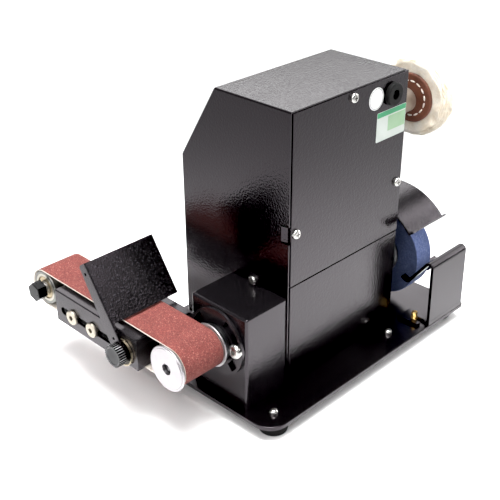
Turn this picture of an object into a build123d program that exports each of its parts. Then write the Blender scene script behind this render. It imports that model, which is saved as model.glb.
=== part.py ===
from build123d import *
import os
from math import cos, sin, radians

os.makedirs("parts", exist_ok=True)

# Bench knife sharpening machine: a sheet-metal housing on a base plate, with a
# sanding-belt arm on the +X side, a grinding wheel with guard and tool rest on
# the -X side and a buffing wheel above it. Millimetres, +Z up, the back of the
# machine faces +Y. The origin is on the floor, under the middle of the object.

# ---------------------------------------------------------------- dimensions
# base plate
BASE_X0, BASE_X1 = -123.5, 77.2
BASE_Y0, BASE_Y1 = -47.5, 92.5
PLATE = 2.5                      # plate thickness
ZB = 11.0                        # top of the base plate
CORNER_R = 13.0                  # rounded corners on the belt side
FEET = [(62.2, 80.4), (-54.8, 77.3), (-113.0, 78.0), (62.2, -34.0), (-110.5, -34.0)]
FOOT_R = 8.8

# housing
SHEET = 1.5
XR = 37.0                        # outer face of the belt-side wall
XB = -66.5                       # wheel-side end of the folded body
XL = -68.5                       # outer face of the wheel-side panel
YB = 68.0                        # outer face of the back
YE = 67.7                        # back end of the folded body, around the cover
YR = 66.2                        # tabs behind the cover, end of the wheel-side panel
YF = -22.0                       # outer face of the front
LIP = 0.8                        # the body's edge is thinned to this at the back
ZT = 191.0                       # top
SLOPE_Y = 8.0                    # where the top turns into the slope
SLOPE_Z = 141.7                  # where the slope turns into the front
SEAM_Z = 81.5                    # lower edge of the rear cover
COVER_X0 = -69.0                 # the rear cover stands a little proud here
COVER_X1 = 35.1                  # it lies inside the body's edge here,
COVER_Z1 = 189.9                 # and here
COVER_SCREWS = [(-16.1, 185.8), (-64.4, 117.4), (31.6, 116.0)]
JACK_X, JACK_Z = -53.6, 178.8

# drive box on the belt side
BOX_X1 = 71.0
BOX_Y0, BOX_Y1 = 20.3, 66.8
BOX_Z1 = 74.0
TAB_Y, TAB_Z = 40.9, 77.2

# main axis: belt pulley, motor and grinding wheel
AXIS_Y, AXIS_Z = 43.4, 50.5
SHAFT_R = 4.0

# belt arm
TILT = 0.8                       # arm rises this many degrees towards the idler
CENTRES = 123.21                 # pulley to idler
DRUM_R = 11.6
BELT_IN, BELT_OUT = 11.9, 12.7
BELT_X0, BELT_X1 = 79.0, 109.0
ARM_X0, ARM_X1 = 71.3, 115.0     # outer faces of the channel's two walls
ARM_T = 2.0
ARM_S0, ARM_S1 = 23.4, 102.4     # channel's ends along the arm
ARM_TOP, ARM_BOT = 10.2, -11.8
DISC_R = 22.0
HUB_R = 12.0
CLAMP_R = 17.5                   # curved slots' radius
SLOT_W = -2.4
SLOT_S0, SLOT_S1 = 45.4, 97.4
SLOT_SCREWS = [65.1, 84.8]
KNOB_S, KNOB_W = 35.4, -3.5

# knife guide
GUIDE_ANGLE = 124.0              # lean of the guide strip, from +Y
GUIDE_T = 1.8
GUIDE_N = 6.2                    # outer face of the guide, from the clamp axis
GUIDE_R0, GUIDE_R1 = 17.4, 56.8  # ends of the guide face along the strip

# grinding wheel
WHEEL_R = 32.0
WHEEL_X0, WHEEL_X1 = -102.0, -86.0
GUARD_R = 45.5
GUARD_T = 1.5
GUARD_A0, GUARD_A1 = 40.5, 158.0

# tool rest
REST_X0, REST_X1 = -120.0, -81.0
REST_T = 2.2
STUD_X, STUD_Y = -80.5, 80.4

# buffing wheel
BUFF_Y, BUFF_Z = 47.0, 158.5
BUFF_R = 26.0
LEATHER_R = 16.5

KNOB_Y = AXIS_Y - KNOB_S * cos(radians(TILT)) + KNOB_W * sin(radians(TILT))
KNOB_Z = AXIS_Z + KNOB_S * sin(radians(TILT)) + KNOB_W * cos(radians(TILT))
IDLER_Y = AXIS_Y - CENTRES * cos(radians(TILT))
IDLER_Z = AXIS_Z + CENTRES * sin(radians(TILT))


# ------------------------------------------------------------ working planes
def side(x):
    """Across the machine: sketch x is Y, sketch y is Z, extrudes to +X."""
    return Plane(origin=(x, 0, 0), x_dir=(0, 1, 0), z_dir=(1, 0, 0))


def rear(y):
    """Parallel to the back: sketch x is X, sketch y is Z, extrudes to -Y."""
    return Plane(origin=(0, y, 0), x_dir=(1, 0, 0), z_dir=(0, -1, 0))


def spin(x):
    """Square to the main axis, centred on it, extrudes to +X."""
    return Plane(origin=(x, AXIS_Y, AXIS_Z), x_dir=(0, 1, 0), z_dir=(1, 0, 0))


def arm(x):
    """Arm's side: sketch x runs to the idler, y is up, extrudes to -X."""
    return Plane(origin=(x, AXIS_Y, AXIS_Z),
                 x_dir=(0, -cos(radians(TILT)), sin(radians(TILT))),
                 z_dir=(-1, 0, 0))


def idle(x):
    """Square to the idler axis, centred on it, extrudes to +X."""
    return Plane(origin=(x, IDLER_Y, IDLER_Z), x_dir=(0, 1, 0), z_dir=(1, 0, 0))


def knob(x):
    """Square to the guide's clamp axis, along the strip, extrudes to -X."""
    return Plane(origin=(x, KNOB_Y, KNOB_Z),
                 x_dir=(0, cos(radians(GUIDE_ANGLE)), sin(radians(GUIDE_ANGLE))),
                 z_dir=(-1, 0, 0))


def buff(x):
    """Square to the buff axis, centred on it, extrudes to +X."""
    return Plane(origin=(x, BUFF_Y, BUFF_Z), x_dir=(0, 1, 0), z_dir=(1, 0, 0))


# the slope's outward direction and middle
_L = ((SLOPE_Y - YF) ** 2 + (ZT - SLOPE_Z) ** 2) ** 0.5
SLOPE_N = (0, -(ZT - SLOPE_Z) / _L, (SLOPE_Y - YF) / _L)
SLOPE_MID = ((SLOPE_Y + YF) / 2, (ZT + SLOPE_Z) / 2)


SPEED_X, SPEED_U = 0.0, -7.0     # speed knob: across the slope, and up it from the middle


def slope(x, h=0.0, u=0.0):
    """On the sloped front: sketch x is X, extrudes outwards."""
    return Plane(origin=(x, SLOPE_MID[0] + h * SLOPE_N[1] + u * SLOPE_N[2],
                         SLOPE_MID[1] + h * SLOPE_N[2] - u * SLOPE_N[1]),
                 x_dir=(1, 0, 0), z_dir=SLOPE_N)


def dial(h):
    """At the speed knob, square to its axis, extrudes outwards."""
    return slope(SPEED_X, h, SPEED_U)


MAIN_AXIS = Axis((0, AXIS_Y, AXIS_Z), (1, 0, 0))
IDLER_AXIS = Axis((0, IDLER_Y, IDLER_Z), (1, 0, 0))
BUFF_AXIS = Axis((0, BUFF_Y, BUFF_Z), (1, 0, 0))
KNOB_AXIS = Axis((0, KNOB_Y, KNOB_Z), (1, 0, 0))

# half sections for turned pieces: sketch x is X, sketch y is the radius
TURN_MAIN = Plane(origin=(0, AXIS_Y, AXIS_Z), x_dir=(1, 0, 0), z_dir=(0, -1, 0))
TURN_IDLER = Plane(origin=(0, IDLER_Y, IDLER_Z), x_dir=(1, 0, 0), z_dir=(0, -1, 0))
TURN_BUFF = Plane(origin=(0, BUFF_Y, BUFF_Z), x_dir=(1, 0, 0), z_dir=(0, -1, 0))
TURN_KNOB = Plane(origin=(0, KNOB_Y, KNOB_Z), x_dir=(1, 0, 0), z_dir=(0, -1, 0))

HOUSING_SCREWS = [(-48, -15), (14, -15), (31.6, 8), (31.6, 36), (-52, 60), (-24, 60)]
BRACKET_SCREWS = [(-5, 28), (-5, 59), (19, 28), (19, 59)]
PANEL_SCREWS = [(-16, 30), (-16, 125), (14, 184), (55, 184)]
GUARD_SCREW_ANGLES = [72, 108, 144]
BUFF_MOTOR_ANGLES = [0, 180]
MOTOR_SCREW_ANGLES = [45, 135, 225, 315]

# ----------------------------------------------------------------- base plate
with BuildPart() as base_plate:
    with BuildSketch(Plane.XY.offset(ZB - PLATE)) as outline:
        with Locations(((BASE_X0 + BASE_X1) / 2, (BASE_Y0 + BASE_Y1) / 2)):
            Rectangle(BASE_X1 - BASE_X0, BASE_Y1 - BASE_Y0)
        fillet(outline.vertices().group_by(Axis.X)[-1], CORNER_R)
        fillet(outline.vertices().group_by(Axis.X)[0], 2.5)
    extrude(amount=PLATE)
    fillet(base_plate.faces().sort_by(Axis.Z)[-1].outer_wire().edges(), 0.5)
    with BuildSketch(Plane.XY.offset(ZB - PLATE)):
        with Locations(*FEET):
            Circle(1.65)
        with Locations((STUD_X, STUD_Y)):
            Circle(2.25)
        with Locations(*HOUSING_SCREWS):
            Circle(2.1)
        with Locations(*BRACKET_SCREWS):
            Circle(2.1)
    extrude(amount=PLATE, mode=Mode.SUBTRACT)
base_plate.part.label = "base_plate"
export_step(base_plate.part, "parts/base_plate.step")

with BuildPart() as rubber_feet:
    with BuildSketch(Plane.XY):
        with Locations(*FEET):
            Circle(FOOT_R)
    extrude(amount=ZB - PLATE, taper=-3)
    fillet(rubber_feet.edges().filter_by(GeomType.CIRCLE).group_by(Axis.Z)[0], 1.0)
    with BuildSketch(Plane.XY.offset(ZB - PLATE)):
        with Locations(*FEET):
            Circle(1.6)
    extrude(amount=-6.2, mode=Mode.SUBTRACT)
rubber_feet.part.label = "rubber_feet"
export_step(rubber_feet.part, "parts/rubber_feet.step")

with BuildPart() as foot_screws:
    with BuildSketch(Plane.XY.offset(ZB)):
        with Locations(*FEET):
            Circle(2.7)
    extrude(amount=2.8)
    fillet(foot_screws.edges().filter_by(GeomType.CIRCLE).group_by(Axis.Z)[-1], 1.7)
    with BuildSketch(Plane.XY.offset(2.8)):
        with Locations(*FEET):
            Circle(1.5)
    extrude(amount=ZB - 2.8)
    with BuildSketch(Plane.XY.offset(ZB + 2.8)):
        with Locations(*FEET):
            Rectangle(2.6, 0.6)
            Rectangle(0.6, 2.6)
    extrude(amount=-1.2, mode=Mode.SUBTRACT)
foot_screws.part.label = "foot_screws"
export_step(foot_screws.part, "parts/foot_screws.step")

# -------------------------------------------------------------------- housing
with BuildPart() as housing_body:
    with BuildSketch(side(XB)):
        with BuildLine():
            Polyline((YF, ZB), (YE, ZB), (YE, ZT), (SLOPE_Y, ZT), (YF, SLOPE_Z), close=True)
        make_face()
    extrude(amount=XR - XB)
    bends = housing_body.edges().filter_by(Axis.X)
    fillet(bends.filter_by_position(Axis.Y, YF - 1, SLOPE_Y + 1).filter_by_position(
        Axis.Z, ZB + 1, ZT + 1), 2.0)
    rim = housing_body.faces().sort_by(Axis.X)[-1].outer_wire().edges()
    rim = rim.filter_by_position(Axis.Z, ZB + 1, ZT + 1).filter_by_position(Axis.Y, YF - 1, YR - 1)
    fillet(rim, 1.2)
    with BuildSketch(side(XB + SHEET)):
        with BuildLine():
            Polyline((YF + SHEET, ZB - 1), (YE + 1, ZB - 1), (YE + 1, ZT - SHEET),
                     (SLOPE_Y + 0.84, ZT - SHEET), (YF + SHEET, SLOPE_Z - 0.42), close=True)
        make_face()
    extrude(amount=XR - XB - 2 * SHEET, mode=Mode.SUBTRACT)
    # thinned edge around the rear cover and the lower back panel
    with BuildSketch(rear(YE + 1)):
        with Locations(((XB - 1 + XR - LIP) / 2, (ZB - 1 + 110.2) / 2)):
            Rectangle(XR - LIP - XB + 1, 110.2 - ZB + 1)
        with Locations(((XB - 1 + XR - LIP) / 2, (121.8 + ZT - LIP) / 2)):
            Rectangle(XR - LIP - XB + 1, ZT - LIP - 121.8)
    extrude(amount=YE + 1 - 64.5, mode=Mode.SUBTRACT)
    # lip that the wheel-side panel is screwed to
    with BuildSketch(side(XB)):
        with BuildLine():
            Polyline((YF + 10, ZB - 1), (YE + 1, ZB - 1), (YE + 1, ZT - 11),
                     (SLOPE_Y + 7, ZT - 11), (YF + 10, SLOPE_Z - 4), close=True)
        make_face()
    extrude(amount=SHEET, mode=Mode.SUBTRACT)
    # flanges on the base plate, inside
    with BuildSketch(Plane.XY.offset(ZB)):
        with BuildLine():
            Polyline((XB + SHEET + 4, YF + SHEET), (XR - SHEET, YF + SHEET), (XR - SHEET, 60),
                     (XR - SHEET - 7.5, 60), (XR - SHEET - 7.5, YF + 13), (XB + SHEET + 4, YF + 13),
                     close=True)
        make_face()
    extrude(amount=SHEET)
    # bent tabs that take the rear cover's screws
    with BuildSketch(rear(YR)):
        with Locations((XR - 6.4, COVER_SCREWS[2][1])):
            Rectangle(11.2, 9.6)
        with Locations((COVER_SCREWS[0][0], ZT - 5.7)):
            Rectangle(10, 10.6)
    extrude(amount=SHEET)
    with BuildSketch(side(XR - SHEET)):
        with Locations((YE - 2, COVER_SCREWS[2][1] + 5.3), (YE - 2, COVER_SCREWS[2][1] - 5.3)):
            Rectangle(9, 1.0)
        with Locations((YE, COVER_SCREWS[2][1])):
            Rectangle(2 * (YE - YR), 9.6)
    extrude(amount=SHEET, mode=Mode.SUBTRACT)
    # the tab on the belt-side wall is bent in towards the cover
    with BuildSketch(Plane.XY.offset(COVER_SCREWS[2][1] - 4.8)):
        with BuildLine():
            Polyline((XR + 0.1, YE - 6.4), (XR + 0.1, YE), (XR - 0.95, YE), (XR - 0.7, YR - 0.6),
                     close=True)
        make_face()
    extrude(amount=9.6, mode=Mode.SUBTRACT)
    # holes: shaft, drive box screw, cover screws, panel screws, base screws
    with BuildSketch(side(XR - SHEET)):
        with Locations((AXIS_Y, AXIS_Z)):
            Circle(15)
        with Locations((TAB_Y, TAB_Z)):
            Circle(1.5)
    extrude(amount=SHEET, mode=Mode.SUBTRACT)
    with BuildSketch(rear(YR)):
        with Locations(COVER_SCREWS[0], COVER_SCREWS[2]):
            Circle(1.5)
    extrude(amount=SHEET, mode=Mode.SUBTRACT)
    with BuildSketch(side(XB)):
        with Locations(*PANEL_SCREWS):
            Circle(1.5)
    extrude(amount=SHEET, mode=Mode.SUBTRACT)
    with BuildSketch(Plane.XY.offset(ZB)):
        with Locations(*HOUSING_SCREWS[:4]):
            Circle(2.05)
    extrude(amount=SHEET, mode=Mode.SUBTRACT)
    # openings in the slope for the switch and the speed control
    with BuildSketch(slope(-36, -2.5)):
        Rectangle(13.2, 19.2)
    extrude(amount=4, mode=Mode.SUBTRACT)
    with BuildSketch(dial(-2.5)):
        Circle(3.6)
    extrude(amount=4, mode=Mode.SUBTRACT)
housing_body.part.label = "housing_body"
export_step(housing_body.part, "parts/housing_body.step")

with BuildPart() as wheel_side_panel:
    with BuildSketch(side(XL)):
        with BuildLine():
            Polyline((YF + 0.6, ZB), (YR, ZB), (YR, ZT - 1.2), (SLOPE_Y + 0.4, ZT - 1.2),
                     (YF + 0.6, SLOPE_Z - 0.4), close=True)
        make_face()
        with Locations((AXIS_Y, AXIS_Z)):
            Circle(7.0, mode=Mode.SUBTRACT)
        with Locations((BUFF_Y, BUFF_Z)):
            Circle(6.2, mode=Mode.SUBTRACT)
            with PolarLocations(12.5, 2):
                Circle(1.7, mode=Mode.SUBTRACT)
        with Locations(*PANEL_SCREWS):
            Circle(1.7, mode=Mode.SUBTRACT)
        with Locations(*[(AXIS_Y + 40 * cos(radians(a)), AXIS_Z + 40 * sin(radians(a)))
                         for a in GUARD_SCREW_ANGLES]):
            Circle(1.5, mode=Mode.SUBTRACT)
    extrude(amount=XB - XL)
    with BuildSketch(rear(YR)):
        with Locations((XB + 3.6, COVER_SCREWS[1][1])):
            Rectangle(7.2, 8)
        with Locations(COVER_SCREWS[1]):
            Circle(1.5, mode=Mode.SUBTRACT)
    extrude(amount=SHEET)
wheel_side_panel.part.label = "wheel_side_panel"
export_step(wheel_side_panel.part, "parts/wheel_side_panel.step")

with BuildPart() as panel_screws:
    with BuildSketch(side(XL - 1.9)):
        with Locations(*PANEL_SCREWS):
            Circle(2.9)
    extrude(amount=1.9)
    fillet(panel_screws.edges().filter_by(GeomType.CIRCLE).group_by(Axis.X)[0], 1.1)
    with BuildSketch(side(XL)):
        with Locations(*PANEL_SCREWS):
            Circle(1.45)
    extrude(amount=7)
    with BuildSketch(side(XL - 1.9)):
        with Locations(*PANEL_SCREWS):
            Rectangle(3.0, 0.7)
            Rectangle(0.7, 3.0)
    extrude(amount=0.9, mode=Mode.SUBTRACT)
panel_screws.part.label = "panel_screws"
export_step(panel_screws.part, "parts/panel_screws.step")

with BuildPart() as lower_back_panel:
    with BuildSketch(rear(YB)):
        with Locations(((XL + COVER_X1) / 2, (ZB + SEAM_Z - 0.5) / 2)):
            Rectangle(COVER_X1 - XL, SEAM_Z - 0.5 - ZB)
    extrude(amount=SHEET)
    fillet(lower_back_panel.faces().sort_by(Axis.Y)[-1].outer_wire().edges(), 0.35)
    with BuildSketch(Plane.XY.offset(ZB)):
        with Locations((-38, YB - SHEET - 5.5)):
            Rectangle(46, 11)
        with Locations(*HOUSING_SCREWS[4:]):
            Circle(2.05, mode=Mode.SUBTRACT)
    extrude(amount=SHEET)
lower_back_panel.part.label = "lower_back_panel"
export_step(lower_back_panel.part, "parts/lower_back_panel.step")

with BuildPart() as rear_cover:
    with BuildSketch(rear(YB)):
        with Locations(((COVER_X0 + COVER_X1) / 2, (SEAM_Z + COVER_Z1) / 2)):
            Rectangle(COVER_X1 - COVER_X0, COVER_Z1 - SEAM_Z)
    extrude(amount=SHEET)
    fillet(rear_cover.faces().sort_by(Axis.Y)[-1].outer_wire().edges(), 0.35)
    with BuildSketch(rear(YB)):
        with Locations(*COVER_SCREWS):
            Circle(1.7)
        with Locations((JACK_X, JACK_Z)):
            Circle(5.6)
    extrude(amount=SHEET, mode=Mode.SUBTRACT)
rear_cover.part.label = "rear_cover"
export_step(rear_cover.part, "parts/rear_cover.step")

with BuildPart() as rear_cover_screws:
    with BuildSketch(rear(YB + 2.1)):
        with Locations(*COVER_SCREWS):
            Circle(3.1)
    extrude(amount=2.1)
    fillet(rear_cover_screws.edges().filter_by(GeomType.CIRCLE).group_by(Axis.Y)[-1], 1.3)
    with BuildSketch(rear(YB)):
        with Locations(*COVER_SCREWS):
            Circle(1.45)
    extrude(amount=7)
    with BuildSketch(rear(YB + 2.1)):
        with Locations(*COVER_SCREWS):
            Rectangle(3.2, 0.75)
            Rectangle(0.75, 3.2)
    extrude(amount=1.0, mode=Mode.SUBTRACT)
rear_cover_screws.part.label = "rear_cover_screws"
export_step(rear_cover_screws.part, "parts/rear_cover_screws.step")

with BuildPart() as dc_jack:
    with BuildSketch(rear(YB + 3.0)):
        with Locations((JACK_X, JACK_Z)):
            Circle(7.2)
    extrude(amount=3.0)
    fillet(dc_jack.edges().filter_by(GeomType.CIRCLE).group_by(Axis.Y)[-1], 0.8)
    with BuildSketch(rear(YB)):
        with Locations((JACK_X, JACK_Z)):
            Circle(5.5)
    extrude(amount=8.6)
    with BuildSketch(rear(YB + 3.0)):
        with Locations((JACK_X, JACK_Z)):
            Circle(3.2)
    extrude(amount=9.6, mode=Mode.SUBTRACT)
    with BuildSketch(rear(YB + 1.0)):
        with Locations((JACK_X, JACK_Z)):
            Circle(1.0)
    extrude(amount=8)
dc_jack.part.label = "dc_jack"
export_step(dc_jack.part, "parts/dc_jack.step")

with BuildPart() as dc_jack_nut:
    with BuildSketch(rear(YB - SHEET)):
        with Locations((JACK_X, JACK_Z)):
            RegularPolygon(7.0, 6, major_radius=False)
            Circle(5.55, mode=Mode.SUBTRACT)
    extrude(amount=3)
dc_jack_nut.part.label = "dc_jack_nut"
export_step(dc_jack_nut.part, "parts/dc_jack_nut.step")

with BuildPart() as plain_stickers:
    with BuildSketch(rear(YB + 0.2)):
        with Locations((-37.9, 179.4)):
            Circle(6.9)
        with Locations((-54.1, 160.2)):
            Rectangle(28.6, 18.8)
    extrude(amount=0.2)
plain_stickers.part.label = "plain_stickers"
export_step(plain_stickers.part, "parts/plain_stickers.step")

with BuildPart() as housing_screws:
    with BuildSketch(Plane.XY.offset(ZB - PLATE)):
        with Locations(*HOUSING_SCREWS):
            Circle(3.5)
        with Locations(*BRACKET_SCREWS):
            Circle(3.5)
    extrude(amount=-2.2)
    fillet(housing_screws.edges().filter_by(GeomType.CIRCLE).group_by(Axis.Z)[0], 1.2)
    with BuildSketch(Plane.XY.offset(ZB - PLATE)):
        with Locations(*HOUSING_SCREWS):
            Circle(1.95)
        with Locations(*BRACKET_SCREWS):
            Circle(1.95)
    extrude(amount=6.5)
housing_screws.part.label = "housing_screws"
export_step(housing_screws.part, "parts/housing_screws.step")

# ------------------------------------------------------------------ drive box
CLAMP_AT = [(CLAMP_R * cos(radians(5)), CLAMP_R * sin(radians(5))),
            (-CLAMP_R * cos(radians(5)), -CLAMP_R * sin(radians(5)))]

with BuildPart() as drive_box:
    with BuildSketch(side(XR)):
        with Locations(((BOX_Y0 + BOX_Y1) / 2, (ZB + BOX_Z1) / 2)):
            Rectangle(BOX_Y1 - BOX_Y0, BOX_Z1 - ZB)
    extrude(amount=BOX_X1 - XR)
    outer = drive_box.faces().sort_by(Axis.X)[-1].outer_wire().edges()
    fillet(outer.filter_by_position(Axis.Z, ZB + 1, BOX_Z1 + 1), 1.6)
    long_edges = drive_box.edges().filter_by(Axis.X).filter_by_position(Axis.Z, BOX_Z1 - 1, BOX_Z1 + 1)
    fillet(long_edges, 1.0)
    with BuildSketch(side(XR)):
        with Locations(((BOX_Y0 + BOX_Y1) / 2, (ZB - 2 + BOX_Z1 - SHEET) / 2)):
            Rectangle(BOX_Y1 - BOX_Y0 - 2 * SHEET, BOX_Z1 - SHEET - ZB + 2)
    extrude(amount=BOX_X1 - XR - SHEET, mode=Mode.SUBTRACT)
    # bent-up tab screwed to the housing's wall
    with BuildSketch(side(XR)) as tab:
        with Locations((TAB_Y, BOX_Z1 + 2.9)):
            Rectangle(8.2, 8.8)
        fillet(tab.vertices().group_by(Axis.Z)[-1], 1.5)
    extrude(amount=SHEET)
    with BuildSketch(side(XR)):
        with Locations((TAB_Y, TAB_Z)):
            Circle(1.6)
    extrude(amount=SHEET, mode=Mode.SUBTRACT)
    with BuildSketch(spin(BOX_X1 - SHEET)):
        Circle(HUB_R + 0.05)
        with Locations(*CLAMP_AT):
            Circle(2.6)
    extrude(amount=SHEET, mode=Mode.SUBTRACT)
drive_box.part.label = "drive_box"
export_step(drive_box.part, "parts/drive_box.step")

with BuildPart() as drive_box_screw:
    with BuildSketch(side(XR + SHEET)):
        with Locations((TAB_Y, TAB_Z)):
            Circle(3.0)
    extrude(amount=2.1)
    fillet(drive_box_screw.edges().filter_by(GeomType.CIRCLE).group_by(Axis.X)[-1], 1.2)
    with BuildSketch(side(XR + SHEET)):
        with Locations((TAB_Y, TAB_Z)):
            Circle(1.45)
    extrude(amount=-8)
    with BuildSketch(side(XR + SHEET + 2.1)):
        with Locations((TAB_Y, TAB_Z)):
            Rectangle(3.1, 0.75)
            Rectangle(0.75, 3.1)
    extrude(amount=-1.0, mode=Mode.SUBTRACT)
drive_box_screw.part.label = "drive_box_screw"
export_step(drive_box_screw.part, "parts/drive_box_screw.step")

with BuildPart() as pivot_hub:
    with BuildSketch(TURN_MAIN):
        with BuildLine():
            Polyline((65, 9.52), (65, 21), (69.5, 21), (69.5, HUB_R), (75.3, HUB_R), (75.3, 6.5),
                     (73.2, 6.5), (73.2, 9.52), close=True)
        make_face()
    revolve(axis=MAIN_AXIS)
    chamfer(pivot_hub.edges().filter_by(GeomType.CIRCLE).group_by(Axis.X)[-1].sort_by(
        SortBy.RADIUS)[-1], 0.5)
    with BuildSketch(spin(65)):
        with Locations(*CLAMP_AT):
            Circle(2.55)
    extrude(amount=4.5, mode=Mode.SUBTRACT)
pivot_hub.part.label = "pivot_hub"
export_step(pivot_hub.part, "parts/pivot_hub.step")

with BuildPart() as arm_clamp_screws:
    with BuildSketch(spin(ARM_X0 + ARM_T + 0.3)):
        with Locations(*CLAMP_AT):
            Circle(4.8)
    extrude(amount=2.8)
    fillet(arm_clamp_screws.edges().filter_by(GeomType.CIRCLE).group_by(Axis.X)[-1], 2.0)
    with BuildSketch(spin(ARM_X0 + ARM_T + 0.3)):
        with Locations(*CLAMP_AT):
            Circle(2.5)
    extrude(amount=-8.4)
    with BuildSketch(spin(ARM_X0 + ARM_T + 3.1)):
        with Locations(*CLAMP_AT):
            RegularPolygon(1.5, 6, major_radius=False)
    extrude(amount=-1.6, mode=Mode.SUBTRACT)
arm_clamp_screws.part.label = "arm_clamp_screws"
export_step(arm_clamp_screws.part, "parts/arm_clamp_screws.step")

# ----------------------------------------------------------------- main motor
with BuildPart() as motor_can:
    with BuildSketch(spin(-42)):
        Circle(21.5)
        Circle(19.5, mode=Mode.SUBTRACT)
    extrude(amount=61)
motor_can.part.label = "motor_can"
export_step(motor_can.part, "parts/motor_can.step")

with BuildPart() as motor_end_bells:
    with BuildSketch(TURN_MAIN):
        with BuildLine():
            Polyline((19, 7), (19, 21.5), (24, 21.5), (24, 13), (28.5, 13), (28.5, 7), (27.6, 7),
                     (27.6, 11.02), (20.5, 11.02), (20.5, 7), close=True)
        make_face()
        with BuildLine():
            Polyline((-42, 7), (-42, 21.5), (-47, 21.5), (-47, 13), (-51.5, 13), (-51.5, 7),
                     (-50.6, 7), (-50.6, 11.02), (-43.5, 11.02), (-43.5, 7), close=True)
        make_face()
    revolve(axis=MAIN_AXIS)
    with BuildSketch(spin(19)):
        with PolarLocations(16.5, 4, start_angle=45):
            Circle(1.5)
    extrude(amount=5, mode=Mode.SUBTRACT)
motor_end_bells.part.label = "motor_end_bells"
export_step(motor_end_bells.part, "parts/motor_end_bells.step")

with BuildPart() as motor_bracket:
    with BuildSketch(side(24)) as plate:
        with Locations((AXIS_Y, (ZB + 74) / 2)):
            Rectangle(42, 74 - ZB)
        fillet(plate.vertices().group_by(Axis.Z)[-1], 8)
        with Locations((AXIS_Y, AXIS_Z)):
            Circle(13.5, mode=Mode.SUBTRACT)
            with PolarLocations(16.5, 4, start_angle=45):
                Circle(1.6, mode=Mode.SUBTRACT)
    extrude(amount=2.5)
    with BuildSketch(Plane.XY.offset(ZB)):
        with Locations((7, AXIS_Y)):
            Rectangle(34, 42)
        with Locations(*BRACKET_SCREWS):
            Circle(2.05, mode=Mode.SUBTRACT)
    extrude(amount=2.5)
motor_bracket.part.label = "motor_bracket"
export_step(motor_bracket.part, "parts/motor_bracket.step")

with BuildPart() as motor_screws:
    with BuildSketch(spin(26.5)):
        with PolarLocations(16.5, 4, start_angle=45):
            Circle(2.8)
    extrude(amount=2.2)
    with BuildSketch(spin(20)):
        with PolarLocations(16.5, 4, start_angle=45):
            Circle(1.45)
    extrude(amount=6.5)
motor_screws.part.label = "motor_screws"
export_step(motor_screws.part, "parts/motor_screws.step")

with BuildPart() as shaft_bearings:
    with BuildSketch(TURN_MAIN):
        with BuildLine():
            Polyline((20.55, 4.03), (20.55, 11), (27.5, 11), (27.5, 4.03), close=True)
        make_face()
        with BuildLine():
            Polyline((-50.5, 4.03), (-50.5, 11), (-43.55, 11), (-43.55, 4.03), close=True)
        make_face()
        with BuildLine():
            Polyline((67.1, 4.03), (67.1, 9.5), (73.1, 9.5), (73.1, 4.03), close=True)
        make_face()
    revolve(axis=MAIN_AXIS)
shaft_bearings.part.label = "shaft_bearings"
export_step(shaft_bearings.part, "parts/shaft_bearings.step")

with BuildPart() as motor_armature:
    with BuildSketch(spin(-30)):
        Circle(16.0)
        Circle(SHAFT_R + 0.02, mode=Mode.SUBTRACT)
        with PolarLocations(14.5, 9):
            SlotOverall(5.0, 2.0, mode=Mode.SUBTRACT)
    extrude(amount=38)
    with BuildSketch(spin(8)):
        Circle(8.0)
        Circle(SHAFT_R + 0.02, mode=Mode.SUBTRACT)
    extrude(amount=8.5)
motor_armature.part.label = "motor_armature"
export_step(motor_armature.part, "parts/motor_armature.step")

with BuildPart() as spindle_shaft:
    with BuildSketch(TURN_MAIN):
        with BuildLine():
            Polyline((-110.6, 0), (-110.6, SHAFT_R - 0.6), (-110, SHAFT_R), (-83, SHAFT_R), (-83, 6),
                     (-54, 6), (-54, SHAFT_R), (110.0, SHAFT_R), (110.4, SHAFT_R - 0.4), (110.4, 0),
                     close=True)
        make_face()
    revolve(axis=MAIN_AXIS)
    with BuildSketch(spin(84)):
        with Locations((0, SHAFT_R)):
            Rectangle(12, 1.6)
    extrude(amount=30, mode=Mode.SUBTRACT)
spindle_shaft.part.label = "spindle_shaft"
export_step(spindle_shaft.part, "parts/spindle_shaft.step")

# -------------------------------------------------------------------- belt arm
with BuildPart() as drive_pulley:
    with BuildSketch(TURN_MAIN):
        with BuildLine():
            Polyline((77.5, SHAFT_R + 0.02), (77.5, 14.1), (78.7, 14.1), (78.7, DRUM_R),
                     (111.0, DRUM_R), (111.0, 14.4), (112.1, 14.4), (112.1, 13.2), (112.6, 13.0),
                     (112.6, 3.6), (112.5, 3.5), (111.0, 3.5), (111.0, SHAFT_R + 0.02), close=True)
        make_face()
    revolve(axis=MAIN_AXIS)
    fillet(drive_pulley.edges().filter_by(GeomType.CIRCLE).filter_by(
        lambda e: e.radius > 14), 0.35)
    # grub screw hole in the drum
    with BuildSketch(Plane(origin=(94, AXIS_Y, AXIS_Z), x_dir=(1, 0, 0), z_dir=(0, 0, 1))):
        Circle(2.0)
    extrude(amount=14, mode=Mode.SUBTRACT)
drive_pulley.part.label = "drive_pulley"
export_step(drive_pulley.part, "parts/drive_pulley.step")

with BuildPart() as pulley_grub_screw:
    with BuildSketch(Plane(origin=(94, AXIS_Y, AXIS_Z + 3.25), x_dir=(1, 0, 0), z_dir=(0, 0, 1))):
        Circle(1.95)
    extrude(amount=6.5)
    with BuildSketch(Plane(origin=(94, AXIS_Y, AXIS_Z + 9.75), x_dir=(1, 0, 0), z_dir=(0, 0, 1))):
        RegularPolygon(1.0, 6, major_radius=False)
    extrude(amount=-2, mode=Mode.SUBTRACT)
pulley_grub_screw.part.label = "pulley_grub_screw"
export_step(pulley_grub_screw.part, "parts/pulley_grub_screw.step")

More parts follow.
